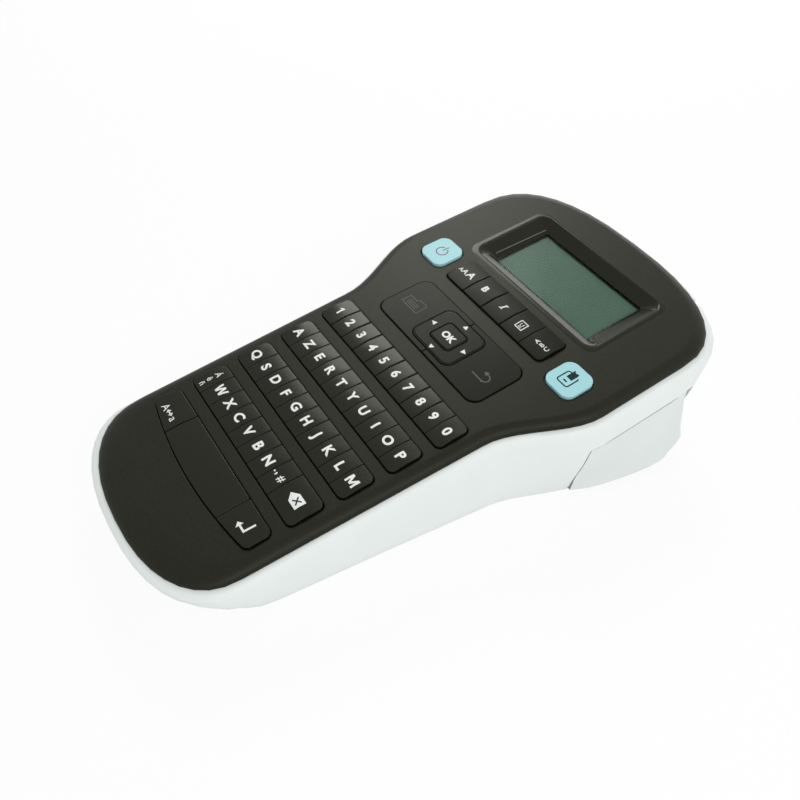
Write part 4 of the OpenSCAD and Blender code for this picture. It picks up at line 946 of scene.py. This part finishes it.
def make_recess_rim():
    low, high = face_box("display_window")
    depth = -high.z / MM
    glass_half = high.x / MM - WINDOW_LIP_MM
    glass_near = low.y / MM + WINDOW_LIP_MM
    glass_far = high.y / MM - WINDOW_LIP_MM
    near_run = glass_near - RECESS_NEAR

    def rolled(step):
        return (step + math.hypot(step, RIM_BLEND)) / 2

    def lift(step):
        rise = min(1, max(0, (step - RIM_STEPS[0]) / RIM_RISE))
        return RIM_LIFT * rise * rise * (3 - 2 * rise) * (1 - max(0, step) * RIM_FADE)

    def wall_height(step):
        return lift(step) - depth * rolled(step)

    def near_height(step):
        gentle = lift(step) - NEAR_SLOPE * near_run * rolled(min(step, NEAR_DROP_AT))
        if step <= NEAR_DROP_AT:
            return gentle
        share = (step - NEAR_DROP_AT) / (1 - NEAR_DROP_AT)
        return gentle + (wall_height(1) - gentle) * share

    def ring(step, sink=0.0):
        """Points round a level of the rim, from the near left corner anticlockwise"""
        half = RECESS_HALF + (glass_half - RECESS_HALF) * step
        near = RECESS_NEAR + near_run * step
        far = RECESS_FAR + (glass_far - RECESS_FAR) * step
        radius = RIM_CORNERS[0] + (RIM_CORNERS[1] - RIM_CORNERS[0]) * max(0, step)
        points = []
        hearts = [(-half + radius, near + radius, 180), (half - radius, near + radius, 270),
                  (half - radius, far - radius, 0), (-half + radius, far - radius, 90)]
        for index, (x, y, start) in enumerate(hearts):
            points += arc((x, y), radius, start, start + 90, CORNER_STEPS)
            leave = Vector(points[-1])
            after = hearts[(index + 1) % len(hearts)]
            turn = math.radians(after[2])
            entry = Vector((after[0] + radius * math.cos(turn), after[1] + radius * math.sin(turn)))
            points += [tuple(leave.lerp(entry, share / SIDE_STEPS)) for share in range(1, SIDE_STEPS)]
        ring_points = []
        for x, y in points:
            nearness = min(1, max(0, (near + radius - y) / radius))
            level = wall_height(step) + (near_height(step) - wall_height(step)) * nearness
            ring_points.append(from_face(Vector((x, y, level - sink)) * MM))
        return ring_points

    rings = [ring(RIM_STEPS[0], RIM_TUCK)]
    rings += [ring(step) for step in RIM_STEPS[1:]]
    rings += [ring(step, sink) for step, sink in RIM_BACK]
    count = len(rings[0])
    faces = []
    for level in range(len(rings)):
        here = level * count
        below = (level + 1) % len(rings) * count
        for index in range(count):
            after = (index + 1) % count
            faces.append((here + index, here + after, below + after, below + index))
    mesh = bpy.data.meshes.new("recess_rim")
    mesh.from_pydata([point for points in rings for point in points], [], faces)
    rim = add_object("recess_rim", mesh)
    paint(rim, "rim")
    soften(rim)
    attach(rim, body_of("top_cover"))


make_recess_rim()

# A painted highlight: a thin light line of ink along the recess's left wall, where the edge of the glass
# shines

HIGHLIGHT_ENDS = [(-26.2, 41.0), (-25.7, 65.4)]
HIGHLIGHT_LINE = 0.2
lay_on("top_cover", "recess_painted_highlight_line", [outline_mesh([stroke(HIGHLIGHT_ENDS, HIGHLIGHT_LINE)])], "edge", RIM_LIFT)

# Studio: pale floor, even sky, three soft lamps and the camera of the photograph

WHITE = (1, 1, 1, 1)
SKY_LIGHT = 0.55
FLOOR_HALF = 6.0
FLOOR_GAP = 0.0001
FLOOR_GREY = (0.93, 0.93, 0.93)
FLOOR_ROUGH = 0.9
FLOOR_SHADOW = 0.12


def seen_directly(tree):
    """1 for camera, mirror and glass rays, 0 for the rays that carry light to matt surfaces"""
    path = tree.nodes.new("ShaderNodeLightPath")
    total = path.outputs["Is Camera Ray"]
    for output in ("Is Glossy Ray", "Is Transmission Ray"):
        total = calculate(tree, "MAXIMUM", total, path.outputs[output])
    return total


def show_white(tree, share, lit, white, output):
    """Mixes plain white into what is seen directly, and leaves the lit side to the other rays"""
    mixed = tree.nodes.new("ShaderNodeMixShader")
    tree.links.new(share, mixed.inputs["Fac"])
    tree.links.new(lit, mixed.inputs[1])
    tree.links.new(white, mixed.inputs[2])
    tree.links.new(mixed.outputs["Shader"], tree.nodes[output].inputs["Surface"])


def make_sky():
    world = bpy.data.worlds.new("studio")
    bpy.context.scene.world = world
    world.use_nodes = True
    tree = world.node_tree
    lighting = tree.nodes["Background"]
    lighting.inputs["Color"].default_value = WHITE
    lighting.inputs["Strength"].default_value = SKY_LIGHT
    white = tree.nodes.new("ShaderNodeBackground")
    white.inputs["Color"].default_value = WHITE
    show_white(tree, seen_directly(tree), lighting.outputs["Background"], white.outputs["Background"],
               "World Output")


def make_floor():
    mesh = bpy.data.meshes.new("floor")
    level = cad_box[0].z - FLOOR_GAP
    corners = [(x * FLOOR_HALF, y * FLOOR_HALF, level) for x, y in ((-1, -1), (1, -1), (1, 1), (-1, 1))]
    mesh.from_pydata(corners, [], [(0, 1, 2, 3)])
    floor = add_object("floor", mesh)
    material, tree, shader = new_material("floor_pale")
    shader.inputs["Base Color"].default_value = opaque(FLOOR_GREY)
    shader.inputs["Roughness"].default_value = FLOOR_ROUGH
    shader.inputs["Specular IOR Level"].default_value = 0
    white = tree.nodes.new("ShaderNodeEmission")
    share = calculate(tree, "MULTIPLY", seen_directly(tree), 1 - FLOOR_SHADOW)
    show_white(tree, share, shader.outputs["BSDF"], white.outputs["Emission"], "Material Output")
    mesh.materials.append(material)


def soft_box(name, direction, distance, width, height, watts):
    """A soft lamp that looks at the object's middle from a direction"""
    light = bpy.data.lights.new(name, "AREA")
    light.shape = "RECTANGLE"
    light.size = width
    light.size_y = height
    light.energy = watts
    lamp = add_object(name, light)
    target = (cad_box[0] + cad_box[1]) / 2
    back = Vector(direction).normalized()
    lamp.location = target + back * distance
    lamp.rotation_mode = "QUATERNION"
    lamp.rotation_quaternion = (-back).to_track_quat("-Z", "Y")


CAMERA_AT_MM = (134.2, -113.6, 206.2)
CAMERA_TURN_DEG = (42.572, -5.242, 55.902)
SENSOR_MM = 36
FOCAL_PX = 750
IMAGE_PX = 800
CLIP_START = 0.01


def make_camera():
    data = bpy.data.cameras.new("camera")
    data.sensor_width = SENSOR_MM
    data.lens = SENSOR_MM * FOCAL_PX / IMAGE_PX
    data.clip_start = CLIP_START
    camera = add_object("camera", data)
    camera.location = Vector(CAMERA_AT_MM) * MM
    camera.rotation_euler = [math.radians(turn) for turn in CAMERA_TURN_DEG]
    bpy.context.scene.camera = camera


make_sky()
make_floor()
soft_box("soft_box_right", direction=(0.72, -0.15, 0.66), distance=0.7, width=0.85, height=0.35, watts=2.2)
soft_box("soft_box_far", direction=(-0.632, 0.378, 0.677), distance=0.9, width=0.3, height=0.3, watts=2.0)
soft_box("strip_low", direction=(-0.6, 0.78, 0.2), distance=0.9, width=0.8, height=0.2, watts=1.4)
make_camera()
bpy.context.scene.view_settings.view_transform = "Standard"
